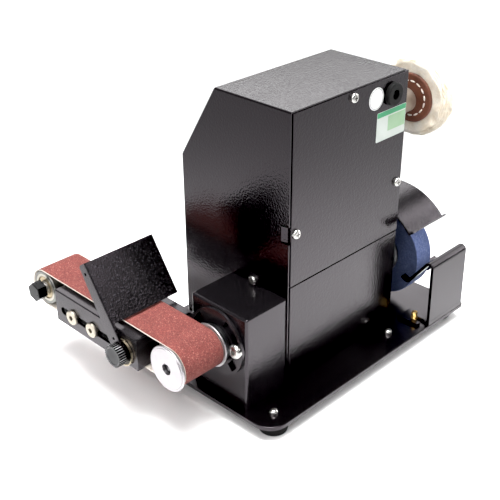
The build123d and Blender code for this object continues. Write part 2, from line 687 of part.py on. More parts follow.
with BuildPart() as arm_channel:
    # outer wall with the pivot disc, on the drive box
    with BuildSketch(arm(ARM_X0 + ARM_T)) as wall:
        with Locations(((ARM_S1) / 2, (ARM_TOP + ARM_BOT) / 2)):
            Rectangle(ARM_S1, ARM_TOP - ARM_BOT)
        Circle(DISC_R)
        Circle(HUB_R + 0.06, mode=Mode.SUBTRACT)
        with BuildLine():
            CenterArc((0, 0), CLAMP_R + 2.8, 115, 114)
            CenterArc((0, 0), CLAMP_R - 2.8, 115, 114)
            Line((CLAMP_R + 2.8) * Vector(cos(radians(115)), sin(radians(115))),
                 (CLAMP_R - 2.8) * Vector(cos(radians(115)), sin(radians(115))))
            Line((CLAMP_R + 2.8) * Vector(cos(radians(229)), sin(radians(229))),
                 (CLAMP_R - 2.8) * Vector(cos(radians(229)), sin(radians(229))))
        make_face(mode=Mode.SUBTRACT)
        with BuildLine():
            CenterArc((0, 0), CLAMP_R + 2.8, -65, 114)
            CenterArc((0, 0), CLAMP_R - 2.8, -65, 114)
            Line((CLAMP_R + 2.8) * Vector(cos(radians(-65)), sin(radians(-65))),
                 (CLAMP_R - 2.8) * Vector(cos(radians(-65)), sin(radians(-65))))
            Line((CLAMP_R + 2.8) * Vector(cos(radians(49)), sin(radians(49))),
                 (CLAMP_R - 2.8) * Vector(cos(radians(49)), sin(radians(49))))
        make_face(mode=Mode.SUBTRACT)
    extrude(amount=ARM_T)
    # top of the channel
    with BuildSketch(arm(ARM_X1)):
        with Locations(((ARM_S0 + ARM_S1) / 2, ARM_TOP - ARM_T / 2)):
            Rectangle(ARM_S1 - ARM_S0, ARM_T)
    extrude(amount=ARM_X1 - ARM_X0)
    # slotted inner wall
    with BuildSketch(arm(ARM_X1)) as slotted:
        with Locations(((ARM_S0 + ARM_S1) / 2, (ARM_TOP + ARM_BOT) / 2)):
            Rectangle(ARM_S1 - ARM_S0, ARM_TOP - ARM_BOT)
        with Locations(((SLOT_S0 + SLOT_S1) / 2, SLOT_W)):
            SlotOverall(SLOT_S1 - SLOT_S0, 5.4, mode=Mode.SUBTRACT)
        with Locations((KNOB_S, KNOB_W)):
            Circle(2.7, mode=Mode.SUBTRACT)
    extrude(amount=ARM_T)
    long_bends = arm_channel.edges().filter_by(GeomType.LINE).filter_by(
        lambda e: abs((e @ 0 - e @ 1).X) < 0.01 and e.length > 70
        and e.center().Z > AXIS_Z + ARM_TOP - 0.5)
    fillet(long_bends.filter_by_position(Axis.X, ARM_X1 - 0.1, ARM_X1 + 0.1), 0.8)
    # end flange turned in from the slotted wall, clear of the belt's lower run
    with BuildSketch(arm(ARM_X1)):
        with BuildLine():
            Polyline((ARM_S0 - 0.6, ARM_BOT), (ARM_S0 + 1.2, ARM_BOT), (ARM_S0 + 1.2, ARM_TOP - 0.4),
                     (ARM_S0 - 0.6, ARM_TOP - 0.4), close=True)
        make_face()
    extrude(amount=5.0)
    with BuildSketch(arm(ARM_X1 - 5.0)):
        with BuildLine():
            Polyline((ARM_S0 - 0.6, -11.1), (ARM_S0 + 1.2, -11.1), (ARM_S0 + 1.2, ARM_TOP - 0.4),
                     (ARM_S0 - 0.6, ARM_TOP - 0.4), close=True)
        make_face()
    extrude(amount=12.0)
arm_channel.part.label = "arm_channel"
export_step(arm_channel.part, "parts/arm_channel.step")

with BuildPart() as sanding_belt:
    with BuildSketch(arm(BELT_X1)):
        with Locations((CENTRES / 2, 0)):
            SlotCenterToCenter(CENTRES, 2 * BELT_OUT)
            SlotCenterToCenter(CENTRES, 2 * BELT_IN, mode=Mode.SUBTRACT)
    extrude(amount=BELT_X1 - BELT_X0)
sanding_belt.part.label = "sanding_belt"
export_step(sanding_belt.part, "parts/sanding_belt.step")

with BuildPart() as tension_slide:
    with BuildSketch(arm(ARM_X1 - ARM_T - 0.4)):
        with Locations((78, -2.5)):
            Rectangle(40, 13)
    extrude(amount=ARM_X1 - ARM_X0 - 2 * ARM_T - 0.8)
    with BuildSketch(arm(77.2)) as leg:
        with Locations(((58 + CENTRES) / 2, 0)):
            Rectangle(CENTRES - 58, 14)
        with Locations((CENTRES, 0)):
            Circle(7)
    extrude(amount=77.2 - (ARM_X0 + ARM_T + 0.4))
    with BuildSketch(arm(ARM_X1 - ARM_T - 0.4)):
        with Locations(*[(s, SLOT_W) for s in SLOT_SCREWS]):
            Circle(2.55)
    extrude(amount=12, mode=Mode.SUBTRACT)
    with BuildSketch(arm(77.2)):
        with Locations((CENTRES, 0)):
            Circle(3.02)
    extrude(amount=5, mode=Mode.SUBTRACT)
tension_slide.part.label = "tension_slide"
export_step(tension_slide.part, "parts/tension_slide.step")

with BuildPart() as slot_screws:
    with BuildSketch(arm(ARM_X1 + 2.0)):
        with Locations(*[(s, SLOT_W) for s in SLOT_SCREWS]):
            Circle(4.9)
    extrude(amount=1.7)
    fillet(slot_screws.edges().filter_by(GeomType.CIRCLE).group_by(Axis.X)[-1], 0.7)
    with BuildSketch(arm(ARM_X1 + 0.3)):
        with Locations(*[(s, SLOT_W) for s in SLOT_SCREWS]):
            Circle(2.5)
    extrude(amount=12)
    with BuildSketch(arm(ARM_X1 + 2.0)):
        with Locations(*[(s, SLOT_W) for s in SLOT_SCREWS]):
            RegularPolygon(1.6, 6, major_radius=False)
    extrude(amount=2.4, mode=Mode.SUBTRACT)
slot_screws.part.label = "slot_screws"
export_step(slot_screws.part, "parts/slot_screws.step")

with BuildPart() as idler_roller:
    with BuildSketch(TURN_IDLER):
        with BuildLine():
            Polyline((79.3, 9.52), (79.3, DRUM_R - 0.5), (79.8, DRUM_R), (108.2, DRUM_R),
                     (108.7, DRUM_R - 0.5), (108.7, 9.52), (102.6, 9.52), (102.6, 8.0), (85.4, 8.0),
                     (85.4, 9.52), close=True)
        make_face()
    revolve(axis=IDLER_AXIS)
idler_roller.part.label = "idler_roller"
export_step(idler_roller.part, "parts/idler_roller.step")

with BuildPart() as idler_bearings:
    with BuildSketch(TURN_IDLER):
        with BuildLine():
            Polyline((108.6, 3.03), (108.6, 4.6), (108.1, 4.7), (108.1, 7.6), (108.6, 7.7), (108.6, 9.5),
                     (102.7, 9.5), (102.7, 3.03), close=True)
        make_face()
        with BuildLine():
            Polyline((79.4, 3.03), (79.4, 4.6), (79.9, 4.7), (79.9, 7.6), (79.4, 7.7), (79.4, 9.5),
                     (85.3, 9.5), (85.3, 3.03), close=True)
        make_face()
    revolve(axis=IDLER_AXIS)
idler_bearings.part.label = "idler_bearings"
export_step(idler_bearings.part, "parts/idler_bearings.step")

with BuildPart() as idler_bolt:
    with BuildSketch(idle(ARM_X0 + ARM_T + 0.4)):
        Circle(2.97)
    extrude(amount=111.2 - (ARM_X0 + ARM_T + 0.4))
    with BuildSketch(idle(111.2)):
        RegularPolygon(5.7, 6, major_radius=False, rotation=-19)
    extrude(amount=6.6)
    chamfer(idler_bolt.faces().sort_by(Axis.X)[-1].edges(), 0.5)
idler_bolt.part.label = "idler_bolt"
export_step(idler_bolt.part, "parts/idler_bolt.step")

with BuildPart() as idler_spacers:
    with BuildSketch(TURN_IDLER):
        with BuildLine():
            Polyline((109.0, 3.0), (109.0, 4.6), (111.2, 4.6), (111.2, 3.0), close=True)
        make_face()
        with BuildLine():
            Polyline((77.2, 3.0), (77.2, 4.6), (79.05, 4.6), (79.05, 3.0), close=True)
        make_face()
    revolve(axis=IDLER_AXIS)
idler_spacers.part.label = "idler_spacers"
export_step(idler_spacers.part, "parts/idler_spacers.step")

# ---------------------------------------------------------------- knife guide
GX1 = 118.5                      # outer face of the guide's strip
with BuildPart() as knife_guide:
    with BuildSketch(knob(GX1)):
        # strip, a little narrower towards its upper end
        with BuildLine():
            Polyline((0, -5.2), (8, -4.6), (GUIDE_R1 - 1.2, -1.2), (GUIDE_R1, 0.2), (GUIDE_R1, GUIDE_N),
                     (GUIDE_R0 - 3, GUIDE_N), (5, 5.2), (0, 5.2), close=True)
        make_face()
        Circle(5.2)
        Circle(2.7, mode=Mode.SUBTRACT)
        with Locations((9.4, 1.2), (50.6, 2.0)):
            Circle(1.05, mode=Mode.SUBTRACT)
    extrude(amount=1.9)
    with BuildSketch(knob(GX1)):
        with Locations(((GUIDE_R0 + GUIDE_R1) / 2, GUIDE_N - GUIDE_T / 2)):
            Rectangle(GUIDE_R1 - GUIDE_R0, GUIDE_T)
    extrude(amount=GX1 - 67.0)
    # rounded bend between the strip and the face
    bend = knife_guide.edges().filter_by(GeomType.LINE).filter_by(
        lambda e: e.length > 30 and abs(e.center().X - GX1) < 0.05
        and (e.center().Y - KNOB_Y) * sin(radians(GUIDE_ANGLE))
        - (e.center().Z - KNOB_Z) * cos(radians(GUIDE_ANGLE)) > GUIDE_N - 0.1)
    fillet(bend, 1.2)
knife_guide.part.label = "knife_guide"
export_step(knife_guide.part, "parts/knife_guide.step")

with BuildPart() as guide_washer:
    with BuildSketch(knob(GX1 - 1.9)):
        Circle(9.0)
        Circle(2.7, mode=Mode.SUBTRACT)
    extrude(amount=1.3)
guide_washer.part.label = "guide_washer"
export_step(guide_washer.part, "parts/guide_washer.step")

with BuildPart() as guide_knob:
    with BuildSketch(knob(123.5)):
        Circle(7.1)
        with PolarLocations(7.3, 28):
            Circle(0.62, mode=Mode.SUBTRACT)
    extrude(amount=4.7)
    # dished outer face
    with BuildSketch(TURN_KNOB):
        with BuildLine():
            Polyline((123.5, 0), (123.5, 5.7), (123.15, 5.3), (123.15, 0), close=True)
        make_face()
    revolve(axis=KNOB_AXIS, mode=Mode.SUBTRACT)
    with BuildSketch(knob(118.8)):
        Circle(2.45)
    extrude(amount=12.3)
guide_knob.part.label = "guide_knob"
export_step(guide_knob.part, "parts/guide_knob.step")

with BuildPart() as guide_nut:
    with BuildSketch(knob(ARM_X1 - ARM_T)):
        RegularPolygon(4.0, 6, major_radius=False)
        Circle(2.5, mode=Mode.SUBTRACT)
    extrude(amount=4.0)
guide_nut.part.label = "guide_nut"
export_step(guide_nut.part, "parts/guide_nut.step")

# ------------------------------------------------------------- grinding wheel
with BuildPart() as grinding_wheel:
    with BuildSketch(spin(WHEEL_X0)):
        Circle(WHEEL_R)
        Circle(SHAFT_R + 0.02, mode=Mode.SUBTRACT)
    extrude(amount=WHEEL_X1 - WHEEL_X0)
    chamfer(grinding_wheel.edges().filter_by(GeomType.CIRCLE).filter_by(
        lambda e: e.radius > WHEEL_R - 0.1), 0.5)
grinding_wheel.part.label = "grinding_wheel"
export_step(grinding_wheel.part, "parts/grinding_wheel.step")

with BuildPart() as wheel_flanges:
    with BuildSketch(TURN_MAIN):
        with BuildLine():
            Polyline((-86, SHAFT_R + 0.02), (-86, 16), (-84.4, 16), (-83.4, 15), (-83.4, 10.5),
                     (-83, 10), (-83, SHAFT_R + 0.02), close=True)
        make_face()
        with BuildLine():
            Polyline((-102, SHAFT_R + 0.02), (-102, 16), (-103.6, 16), (-104.6, 15), (-104.6, 10.5),
                     (-105, 10), (-105, SHAFT_R + 0.02), close=True)
        make_face()
    revolve(axis=MAIN_AXIS)
wheel_flanges.part.label = "wheel_flanges"
export_step(wheel_flanges.part, "parts/wheel_flanges.step")

with BuildPart() as wheel_nut:
    with BuildSketch(spin(-111.5)):
        RegularPolygon(6.5, 6, major_radius=False)
        Circle(SHAFT_R + 0.02, mode=Mode.SUBTRACT)
    extrude(amount=6.5)
    chamfer(wheel_nut.faces().sort_by(Axis.X)[0].outer_wire().edges(), 0.6)
wheel_nut.part.label = "wheel_nut"
export_step(wheel_nut.part, "parts/wheel_nut.step")


def polar(r, a):
    return Vector(r * cos(radians(a)), r * sin(radians(a)))


with BuildPart() as wheel_guard:
    with BuildSketch(spin(-108)):
        with BuildLine():
            CenterArc((0, 0), GUARD_R, GUARD_A0, GUARD_A1 - GUARD_A0)
            CenterArc((0, 0), GUARD_R - GUARD_T, GUARD_A0, GUARD_A1 - GUARD_A0)
            Line(polar(GUARD_R, GUARD_A0), polar(GUARD_R - GUARD_T, GUARD_A0))
            Line(polar(GUARD_R, GUARD_A1), polar(GUARD_R - GUARD_T, GUARD_A1))
        make_face()
        # turned-out lip along the back edge
        with BuildLine():
            Polyline(polar(GUARD_R - 0.3, GUARD_A0), polar(GUARD_R + 3.4, GUARD_A0),
                     polar(GUARD_R + 3.4, GUARD_A0) + polar(GUARD_T, GUARD_A0 + 90),
                     polar(GUARD_R - 0.3, GUARD_A0) + polar(GUARD_T, GUARD_A0 + 90), close=True)
        make_face()
    extrude(amount=COVER_X0 - 0.3 + 108)
    # the free end is cut back a little from the housing
    with BuildSketch(side(-70.8)):
        with Locations((YR + 0.4 + 15, AXIS_Z + 30)):
            Rectangle(30, 50)
    extrude(amount=3, mode=Mode.SUBTRACT)
    # flange on the wheel-side panel
    with BuildSketch(spin(XL - GUARD_T)):
        with BuildLine():
            CenterArc((0, 0), GUARD_R - GUARD_T + 0.2, 64, GUARD_A1 - 4 - 64)
            CenterArc((0, 0), 36, 64, GUARD_A1 - 4 - 64)
            Line(polar(GUARD_R - GUARD_T + 0.2, 64), polar(36, 64))
            Line(polar(GUARD_R - GUARD_T + 0.2, GUARD_A1 - 4), polar(36, GUARD_A1 - 4))
        make_face()
        with Locations(*[polar(40, a) for a in GUARD_SCREW_ANGLES]):
            Circle(1.7, mode=Mode.SUBTRACT)
    extrude(amount=GUARD_T)
wheel_guard.part.label = "wheel_guard"
export_step(wheel_guard.part, "parts/wheel_guard.step")

with BuildPart() as guard_screws:
    with BuildSketch(spin(XL - GUARD_T - 2.0)):
        with Locations(*[polar(40, a) for a in GUARD_SCREW_ANGLES]):
            Circle(2.9)
    extrude(amount=2.0)
    fillet(guard_screws.edges().filter_by(GeomType.CIRCLE).group_by(Axis.X)[0], 1.1)
    with BuildSketch(spin(XL - GUARD_T)):
        with Locations(*[polar(40, a) for a in GUARD_SCREW_ANGLES]):
            Circle(1.45)
    extrude(amount=6.5)
guard_screws.part.label = "guard_screws"
export_step(guard_screws.part, "parts/guard_screws.step")

# ------------------------------------------------------------------ tool rest
with BuildPart() as tool_rest:
    with BuildSketch(side(REST_X0)):
        with BuildLine():
            FilletPolyline((71.2, ZB + 0.05 + REST_T / 2), (91.4, ZB + 0.05 + REST_T / 2),
                           (90.5, 62.4), (71.8, 37.7), (66.7, 40.4), radius=2.6)
        trace(line_width=REST_T)
        # the foot's bend is sharp on the outside
        with Locations((90.9, ZB + 0.05 + 1.6)):
            Rectangle(3.2, 3.2)
    extrude(amount=REST_X1 - REST_X0)
    fillet(tool_rest.edges().filter_by(Axis.X).filter_by_position(
        Axis.Y, 92.4, 92.6).filter_by_position(Axis.Z, ZB, ZB + 0.2), 0.6)
    # gap for the wheel
    with BuildSketch(Plane.XY.offset(25)):
        with Locations((-94.5, 72.5)):
            Rectangle(19.0, 27)
    extrude(amount=50, mode=Mode.SUBTRACT)
    # wider foot under the stud
    with BuildSketch(Plane.XY.offset(ZB + 0.05)):
        with Locations((-80, 79.2)):
            Rectangle(11, 16)
    extrude(amount=REST_T)
    with BuildSketch(Plane.XY.offset(ZB)):
        with Locations((STUD_X, STUD_Y + 3)):
            SlotCenterToCenter(6, 5.0, rotation=90)
        with Locations((FEET[2][0], FEET[2][1] + 3)):
            SlotCenterToCenter(6, 8.4, rotation=90)
    extrude(amount=4, mode=Mode.SUBTRACT)
tool_rest.part.label = "tool_rest"
export_step(tool_rest.part, "parts/tool_rest.step")

with BuildPart() as rest_stud:
    with BuildSketch(Plane.XY.offset(3.4)):
        with Locations((STUD_X, STUD_Y)):
            Circle(2.15)
    extrude(amount=14.4)
    chamfer(rest_stud.faces().sort_by(Axis.Z)[-1].edges(), 0.5)
rest_stud.part.label = "rest_stud"
export_step(rest_stud.part, "parts/rest_stud.step")

with BuildPart() as rest_stud_nut:
    with BuildSketch(Plane.XY.offset(3.4)):
        with Locations((STUD_X, STUD_Y)):
            Circle(7.6)
            Circle(2.2, mode=Mode.SUBTRACT)
    extrude(amount=ZB - PLATE - 3.4)
    fillet(rest_stud_nut.faces().sort_by(Axis.Z)[0].outer_wire().edges(), 1.0)
rest_stud_nut.part.label = "rest_stud_nut"
export_step(rest_stud_nut.part, "parts/rest_stud_nut.step")

# -------------------------------------------------------------- buffing wheel
with BuildPart() as buff_motor:
    with BuildSketch(TURN_BUFF):
        with BuildLine():
            Polyline((-69.5, 2.55), (-69.5, 6), (-66.5, 6), (-66.5, 17), (-65.5, 18), (-16, 18),
                     (-15, 17), (-15, 0), (-48, 0), (-48, 2.55), close=True)
        make_face()
    revolve(axis=BUFF_AXIS)
    with BuildSketch(buff(-66.5)):
        with PolarLocations(12.5, 2):
            Circle(1.5)
    extrude(amount=6, mode=Mode.SUBTRACT)
buff_motor.part.label = "buff_motor"
export_step(buff_motor.part, "parts/buff_motor.step")

with BuildPart() as buff_motor_screws:
    with BuildSketch(buff(XL - 2.0)):
        with PolarLocations(12.5, 2):
            Circle(2.9)
    extrude(amount=2.0)
    fillet(buff_motor_screws.edges().filter_by(GeomType.CIRCLE).group_by(Axis.X)[0], 1.1)
    with BuildSketch(buff(XL)):
        with PolarLocations(12.5, 2):
            Circle(1.45)
    extrude(amount=7)
buff_motor_screws.part.label = "buff_motor_screws"
export_step(buff_motor_screws.part, "parts/buff_motor_screws.step")

with BuildPart() as buff_shaft:
    with BuildSketch(buff(-92)):
        Circle(2.5)
    extrude(amount=42)
buff_shaft.part.label = "buff_shaft"
export_step(buff_shaft.part, "parts/buff_shaft.step")

with BuildPart() as buff_spindle:
    with BuildSketch(TURN_BUFF):
        with BuildLine():
            Polyline((-72.5, 2.52), (-72.5, 7.5), (-73, 8), (-98.5, 8), (-99, 7.5), (-99, 4.1),
                     (-120.5, 2.2), (-120.5, 0), (-92.2, 0), (-92.2, 2.52), close=True)
        make_face()
    revolve(axis=BUFF_AXIS)
buff_spindle.part.label = "buff_spindle"
export_step(buff_spindle.part, "parts/buff_spindle.step")

with BuildPart() as buff_cotton:
    with BuildSketch(buff(-115.0)):
        Circle(BUFF_R)
        Circle(4.2, mode=Mode.SUBTRACT)
    extrude(amount=10.5)
    fillet(buff_cotton.edges().filter_by(GeomType.CIRCLE).filter_by(
        lambda e: e.radius > BUFF_R - 0.1), 4.5)
buff_cotton.part.label = "buff_cotton"
export_step(buff_cotton.part, "parts/buff_cotton.step")

with BuildPart() as leather_discs:
    with BuildSketch(buff(-104.5)):
        Circle(LEATHER_R)
        Circle(4.2, mode=Mode.SUBTRACT)
    extrude(amount=2.0)
    with BuildSketch(buff(-117.0)):
        Circle(LEATHER_R)
        Circle(4.2, mode=Mode.SUBTRACT)
    extrude(amount=2.0)
leather_discs.part.label = "leather_discs"
export_step(leather_discs.part, "parts/leather_discs.step")

# ---------------------------------------------------- controls on the slope
with BuildPart() as switch_body:
    with BuildSketch(slope(-36)):
        Rectangle(15.4, 21.4)
        Rectangle(10.8, 16.8, mode=Mode.SUBTRACT)
    extrude(amount=1.8)
    with BuildSketch(slope(-36, -16)):
        Rectangle(12.8, 18.8)
    extrude(amount=16)
    with BuildSketch(slope(-36, -7)):
        Rectangle(10.8, 16.8)
    extrude(amount=7, mode=Mode.SUBTRACT)
switch_body.part.label = "switch_body"
export_step(switch_body.part, "parts/switch_body.step")

# the rocker rests tipped by 7 degrees
_pivot = slope(-36, -1.0)
_u = Vector(_pivot.y_dir)
_n = Vector(_pivot.z_dir)
_tip = _u * cos(radians(7)) + _n * sin(radians(7))
with BuildPart() as switch_rocker:
    with BuildSketch(Plane(origin=_pivot.origin - Vector(5.0, 0, 0), x_dir=_tip, z_dir=(1, 0, 0))):
        with BuildLine():
            Polyline((-7.4, -2.2), (0, -4.0), (7.4, -2.2), (7.4, 3.4), (0, 2.4), (-7.4, 3.4), close=True)
        make_face()
    extrude(amount=10.0)
switch_rocker.part.label = "switch_rocker"
export_step(switch_rocker.part, "parts/switch_rocker.step")

with BuildPart() as speed_pot:
    with BuildSketch(dial(-13.5)):
        Circle(8.2)
    extrude(amount=11.9)
    with BuildSketch(dial(-1.6)):
        Circle(3.5)
    extrude(amount=5.2)
    with BuildSketch(dial(0)):
        RegularPolygon(5.0, 6, major_radius=False)
    extrude(amount=2.0)
    with BuildSketch(dial(-9)):
        Circle(3.06)
    extrude(amount=14, mode=Mode.SUBTRACT)
speed_pot.part.label = "speed_pot"
export_step(speed_pot.part, "parts/speed_pot.step")

with BuildPart() as speed_knob:
    with BuildSketch(dial(1.0)):
        Circle(8.0)
        with PolarLocations(8.4, 20):
            Circle(0.7, mode=Mode.SUBTRACT)
    extrude(amount=9)
    with BuildSketch(dial(1.0)):
        Circle(6.4)
    extrude(amount=4.5, mode=Mode.SUBTRACT)
    with BuildSketch(dial(-8.0)):
        Circle(3.0)
    extrude(amount=14)
    # pointer groove
    with BuildSketch(dial(10.0)):
        with Locations((0, 4.5)):
            Rectangle(1.2, 6.0)
    extrude(amount=-0.8, mode=Mode.SUBTRACT)
speed_knob.part.label = "speed_knob"
export_step(speed_knob.part, "parts/speed_knob.step")

with BuildPart() as control_board:
    with BuildSketch(side(27.8)):
        with Locations((32, 138)):
            Rectangle(50, 52)
            with GridLocations(42, 44, 2, 2):
                Circle(1.6, mode=Mode.SUBTRACT)
    extrude(amount=1.6)
    with BuildSketch(side(27.8)):
        with Locations((24, 148), (36, 148)):
            Circle(5)
        with Locations((30, 128)):
            Rectangle(24, 14)
        with Locations((48, 136)):
            Rectangle(6, 20)
    extrude(amount=-10)
control_board.part.label = "control_board"
export_step(control_board.part, "parts/control_board.step")

with BuildPart() as board_standoffs:
    with BuildSketch(side(29.4)):
        with Locations((32, 138)):
            with GridLocations(42, 44, 2, 2):
                Circle(2.6)
    extrude(amount=XR - SHEET - 29.4)
    with BuildSketch(side(26.0)):
        with Locations((32, 138)):
            with GridLocations(42, 44, 2, 2):
                Circle(1.5)
    extrude(amount=3.4)
    with BuildSketch(side(26.0)):
        with Locations((32, 138)):
            with GridLocations(42, 44, 2, 2):
                Circle(2.6)
    extrude(amount=1.8)
board_standoffs.part.label = "board_standoffs"
export_step(board_standoffs.part, "parts/board_standoffs.step")
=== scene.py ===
import bpy
import bmesh
import math
import random
from mathutils import Matrix, Vector, noise


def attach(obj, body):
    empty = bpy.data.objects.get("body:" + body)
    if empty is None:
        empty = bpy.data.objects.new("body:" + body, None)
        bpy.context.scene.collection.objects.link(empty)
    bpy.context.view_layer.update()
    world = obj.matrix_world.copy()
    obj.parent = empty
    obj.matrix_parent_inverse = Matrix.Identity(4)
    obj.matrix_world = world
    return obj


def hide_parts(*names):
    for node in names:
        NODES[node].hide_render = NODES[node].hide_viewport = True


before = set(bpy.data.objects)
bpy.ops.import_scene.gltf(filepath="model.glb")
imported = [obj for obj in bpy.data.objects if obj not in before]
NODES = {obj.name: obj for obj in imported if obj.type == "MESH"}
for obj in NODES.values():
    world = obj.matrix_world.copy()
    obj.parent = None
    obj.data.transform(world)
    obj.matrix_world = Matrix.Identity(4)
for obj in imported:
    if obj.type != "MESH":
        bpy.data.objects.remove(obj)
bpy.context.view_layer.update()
MM = 0.001

# ------------------------------------------------------------------ geometry
# the same places as in the CAD model, in millimetres
AXIS_Y, AXIS_Z = 43.4, 50.5
TILT = math.radians(0.8)
CENTRES = 123.21
IDLER_Y = AXIS_Y - CENTRES * math.cos(TILT)
IDLER_Z = AXIS_Z + CENTRES * math.sin(TILT)
BELT_IN, BELT_OUT = 11.9, 12.7
BELT_X0, BELT_X1 = 79.0, 109.0
BUFF_Y, BUFF_Z = 47.0, 158.5
KNOB_Y = AXIS_Y - 35.4 * math.cos(TILT) - 3.5 * math.sin(TILT)
KNOB_Z = AXIS_Z + 35.4 * math.sin(TILT) - 3.5 * math.cos(TILT)
YB = 68.0
SLOPE_L = math.hypot(30.0, 49.3)
SLOPE_N = Vector((0, -49.3 / SLOPE_L, 30.0 / SLOPE_L))
SLOPE_UP = Vector((0, 30.0 / SLOPE_L, 49.3 / SLOPE_L))
SLOPE_MID = Vector((0, -7.0, 166.35))
DIAL_X, DIAL_U = 0.0, -7.0


# ----------------------------------------------------------------- materials
def new_material(name):
    m = bpy.data.materials.new(name)
    m.use_nodes = True
    tree = m.node_tree
    return m, tree, tree.nodes["Principled BSDF"]


def add(tree, kind, **values):
    n = tree.nodes.new(kind)
    for k, v in values.items():
        if k in n.inputs:
            n.inputs[k].default_value = v
        else:
            setattr(n, k, v)
    return n


def coords(tree, scale=(1, 1, 1), offset=(0, 0, 0)):
    """Object coordinates in metres, moved by -offset (in mm) and then scaled."""
    tc = add(tree, "ShaderNodeTexCoord")
    mp = add(tree, "ShaderNodeMapping")
    mp.inputs["Location"].default_value = [-o * MM * s for o, s in zip(offset, scale)]
    mp.inputs["Scale"].default_value = scale
    tree.links.new(tc.outputs["Object"], mp.inputs["Vector"])
    return mp.outputs["Vector"]


def noise_tex(tree, vec, scale, detail=2.0, rough=0.5):
    n = add(tree, "ShaderNodeTexNoise")
    n.inputs["Scale"].default_value = scale
    n.inputs["Detail"].default_value = detail
    n.inputs["Roughness"].default_value = rough
    tree.links.new(vec, n.inputs["Vector"])
    return n


def ramp(tree, fac, stops):
    r = add(tree, "ShaderNodeValToRGB")
    els = r.color_ramp.elements
    while len(els) < len(stops):
        els.new(0.5)
    for e, (p, c) in zip(els, stops):
        e.position = p
        e.color = (c[0], c[1], c[2], 1.0) if hasattr(c, "__len__") else (c, c, c, 1.0)
    tree.links.new(fac, r.inputs["Fac"])
    return r.outputs["Color"]


def remap(tree, fac, a, b, lo=0.0, hi=1.0):
    r = add(tree, "ShaderNodeMapRange")
    r.inputs["From Min"].default_value = lo
    r.inputs["From Max"].default_value = hi
    r.inputs["To Min"].default_value = a
    r.inputs["To Max"].default_value = b
    tree.links.new(fac, r.inputs["Value"])
    return r.outputs["Result"]


def bump(tree, bsdf, height, strength, distance):
    b = add(tree, "ShaderNodeBump")
    b.inputs["Strength"].default_value = strength
    b.inputs["Distance"].default_value = distance
    tree.links.new(height, b.inputs["Height"])
    prev = bsdf.inputs["Normal"]
    if prev.is_linked:
        tree.links.new(prev.links[0].from_socket, b.inputs["Normal"])
    tree.links.new(b.outputs["Normal"], prev)
    return b


def mix_colour(tree, fac, a, b, mode="MIX"):
    m = add(tree, "ShaderNodeMix")
    m.data_type = "RGBA"
    m.blend_type = mode
    for sock, v in ((m.inputs[6], a), (m.inputs[7], b)):
        if hasattr(v, "links"):
            tree.links.new(v, sock)
        else:
            sock.default_value = (v[0], v[1], v[2], 1.0)
    if hasattr(fac, "links"):
        tree.links.new(fac, m.inputs[0])
    else:
        m.inputs[0].default_value = fac
    return m.outputs[2]


def powder_coat(name, dark, light, rough, peel=0.22, scale=820.0, depth=0.0003, speck=None):
    """Black powder coat with a fine orange peel."""
    m, t, b = new_material(name)
    v = coords(t)
    fine = noise_tex(t, v, scale, 1.5, 0.45)
    mid = noise_tex(t, v, scale * 0.33, 2.0, 0.5)
    broad = noise_tex(t, v, 22.0, 3.0, 0.55)
    stops = [(0.3, dark), (0.56, light), (0.68, speck)] if speck else [(0.3, dark), (0.75, light)]
    t.links.new(ramp(t, fine.outputs["Fac"], stops), b.inputs["Base Color"])
    t.links.new(remap(t, broad.outputs["Fac"], rough - 0.04, rough + 0.05, 0.3, 0.7), b.inputs["Roughness"])
    b.inputs["IOR"].default_value = 1.5
    b.inputs["Specular Tint"].default_value = (1.0, 0.88, 0.98, 1.0)
    b.inputs["Specular IOR Level"].default_value = 0.47
    bump(t, b, fine.outputs["Fac"], peel, depth)
    bump(t, b, mid.outputs["Fac"], peel * 0.07, 0.0005)
    return m


def metal(name, colour, rough, grain=None, scratch=0.06, tint=None):
    """A bare or plated metal. grain: (axis letter, centre y, centre z, period mm) for turned rings."""
    m, t, b = new_material(name)
    v = coords(t)
    n = noise_tex(t, v, 300.0, 4.0, 0.6)
    tint = tint or [c * 0.82 for c in colour]
    t.links.new(ramp(t, n.outputs["Fac"], [(0.25, tint), (0.7, colour)]), b.inputs["Base Color"])
    b.inputs["Metallic"].default_value = 1.0
    t.links.new(remap(t, n.outputs["Fac"], rough - 0.06, rough + 0.08, 0.25, 0.75), b.inputs["Roughness"])
    if grain:
        w = add(t, "ShaderNodeTexWave")
        w.wave_type = "RINGS"
        w.rings_direction = grain[0]
        w.inputs["Scale"].default_value = 2 * math.pi / (20 * grain[3] * MM)
        w.inputs["Distortion"].default_value = 1.2
        w.inputs["Detail"].default_value = 2.0
        t.links.new(coords(t, offset=(0, grain[1], grain[2])), w.inputs["Vector"])
        bump(t, b, w.outputs["Fac"], scratch * 2.0, 0.00006)
    fine = noise_tex(t, coords(t, (1, 6, 6)), 900.0, 2.0, 0.6)
    bump(t, b, fine.outputs["Fac"], scratch, 0.00008)
    return m


def plastic(name, dark, light, rough, grain=0.12, scale=1500.0):
    m, t, b = new_material(name)
    v = coords(t)
    n = noise_tex(t, v, scale, 2.0, 0.5)
    broad = noise_tex(t, v, 60.0, 3.0, 0.5)
    t.links.new(ramp(t, broad.outputs["Fac"], [(0.3, dark), (0.7, light)]), b.inputs["Base Color"])
    t.links.new(remap(t, n.outputs["Fac"], rough - 0.05, rough + 0.06, 0.3, 0.7), b.inputs["Roughness"])
    bump(t, b, n.outputs["Fac"], grain, 0.0001)
    return m


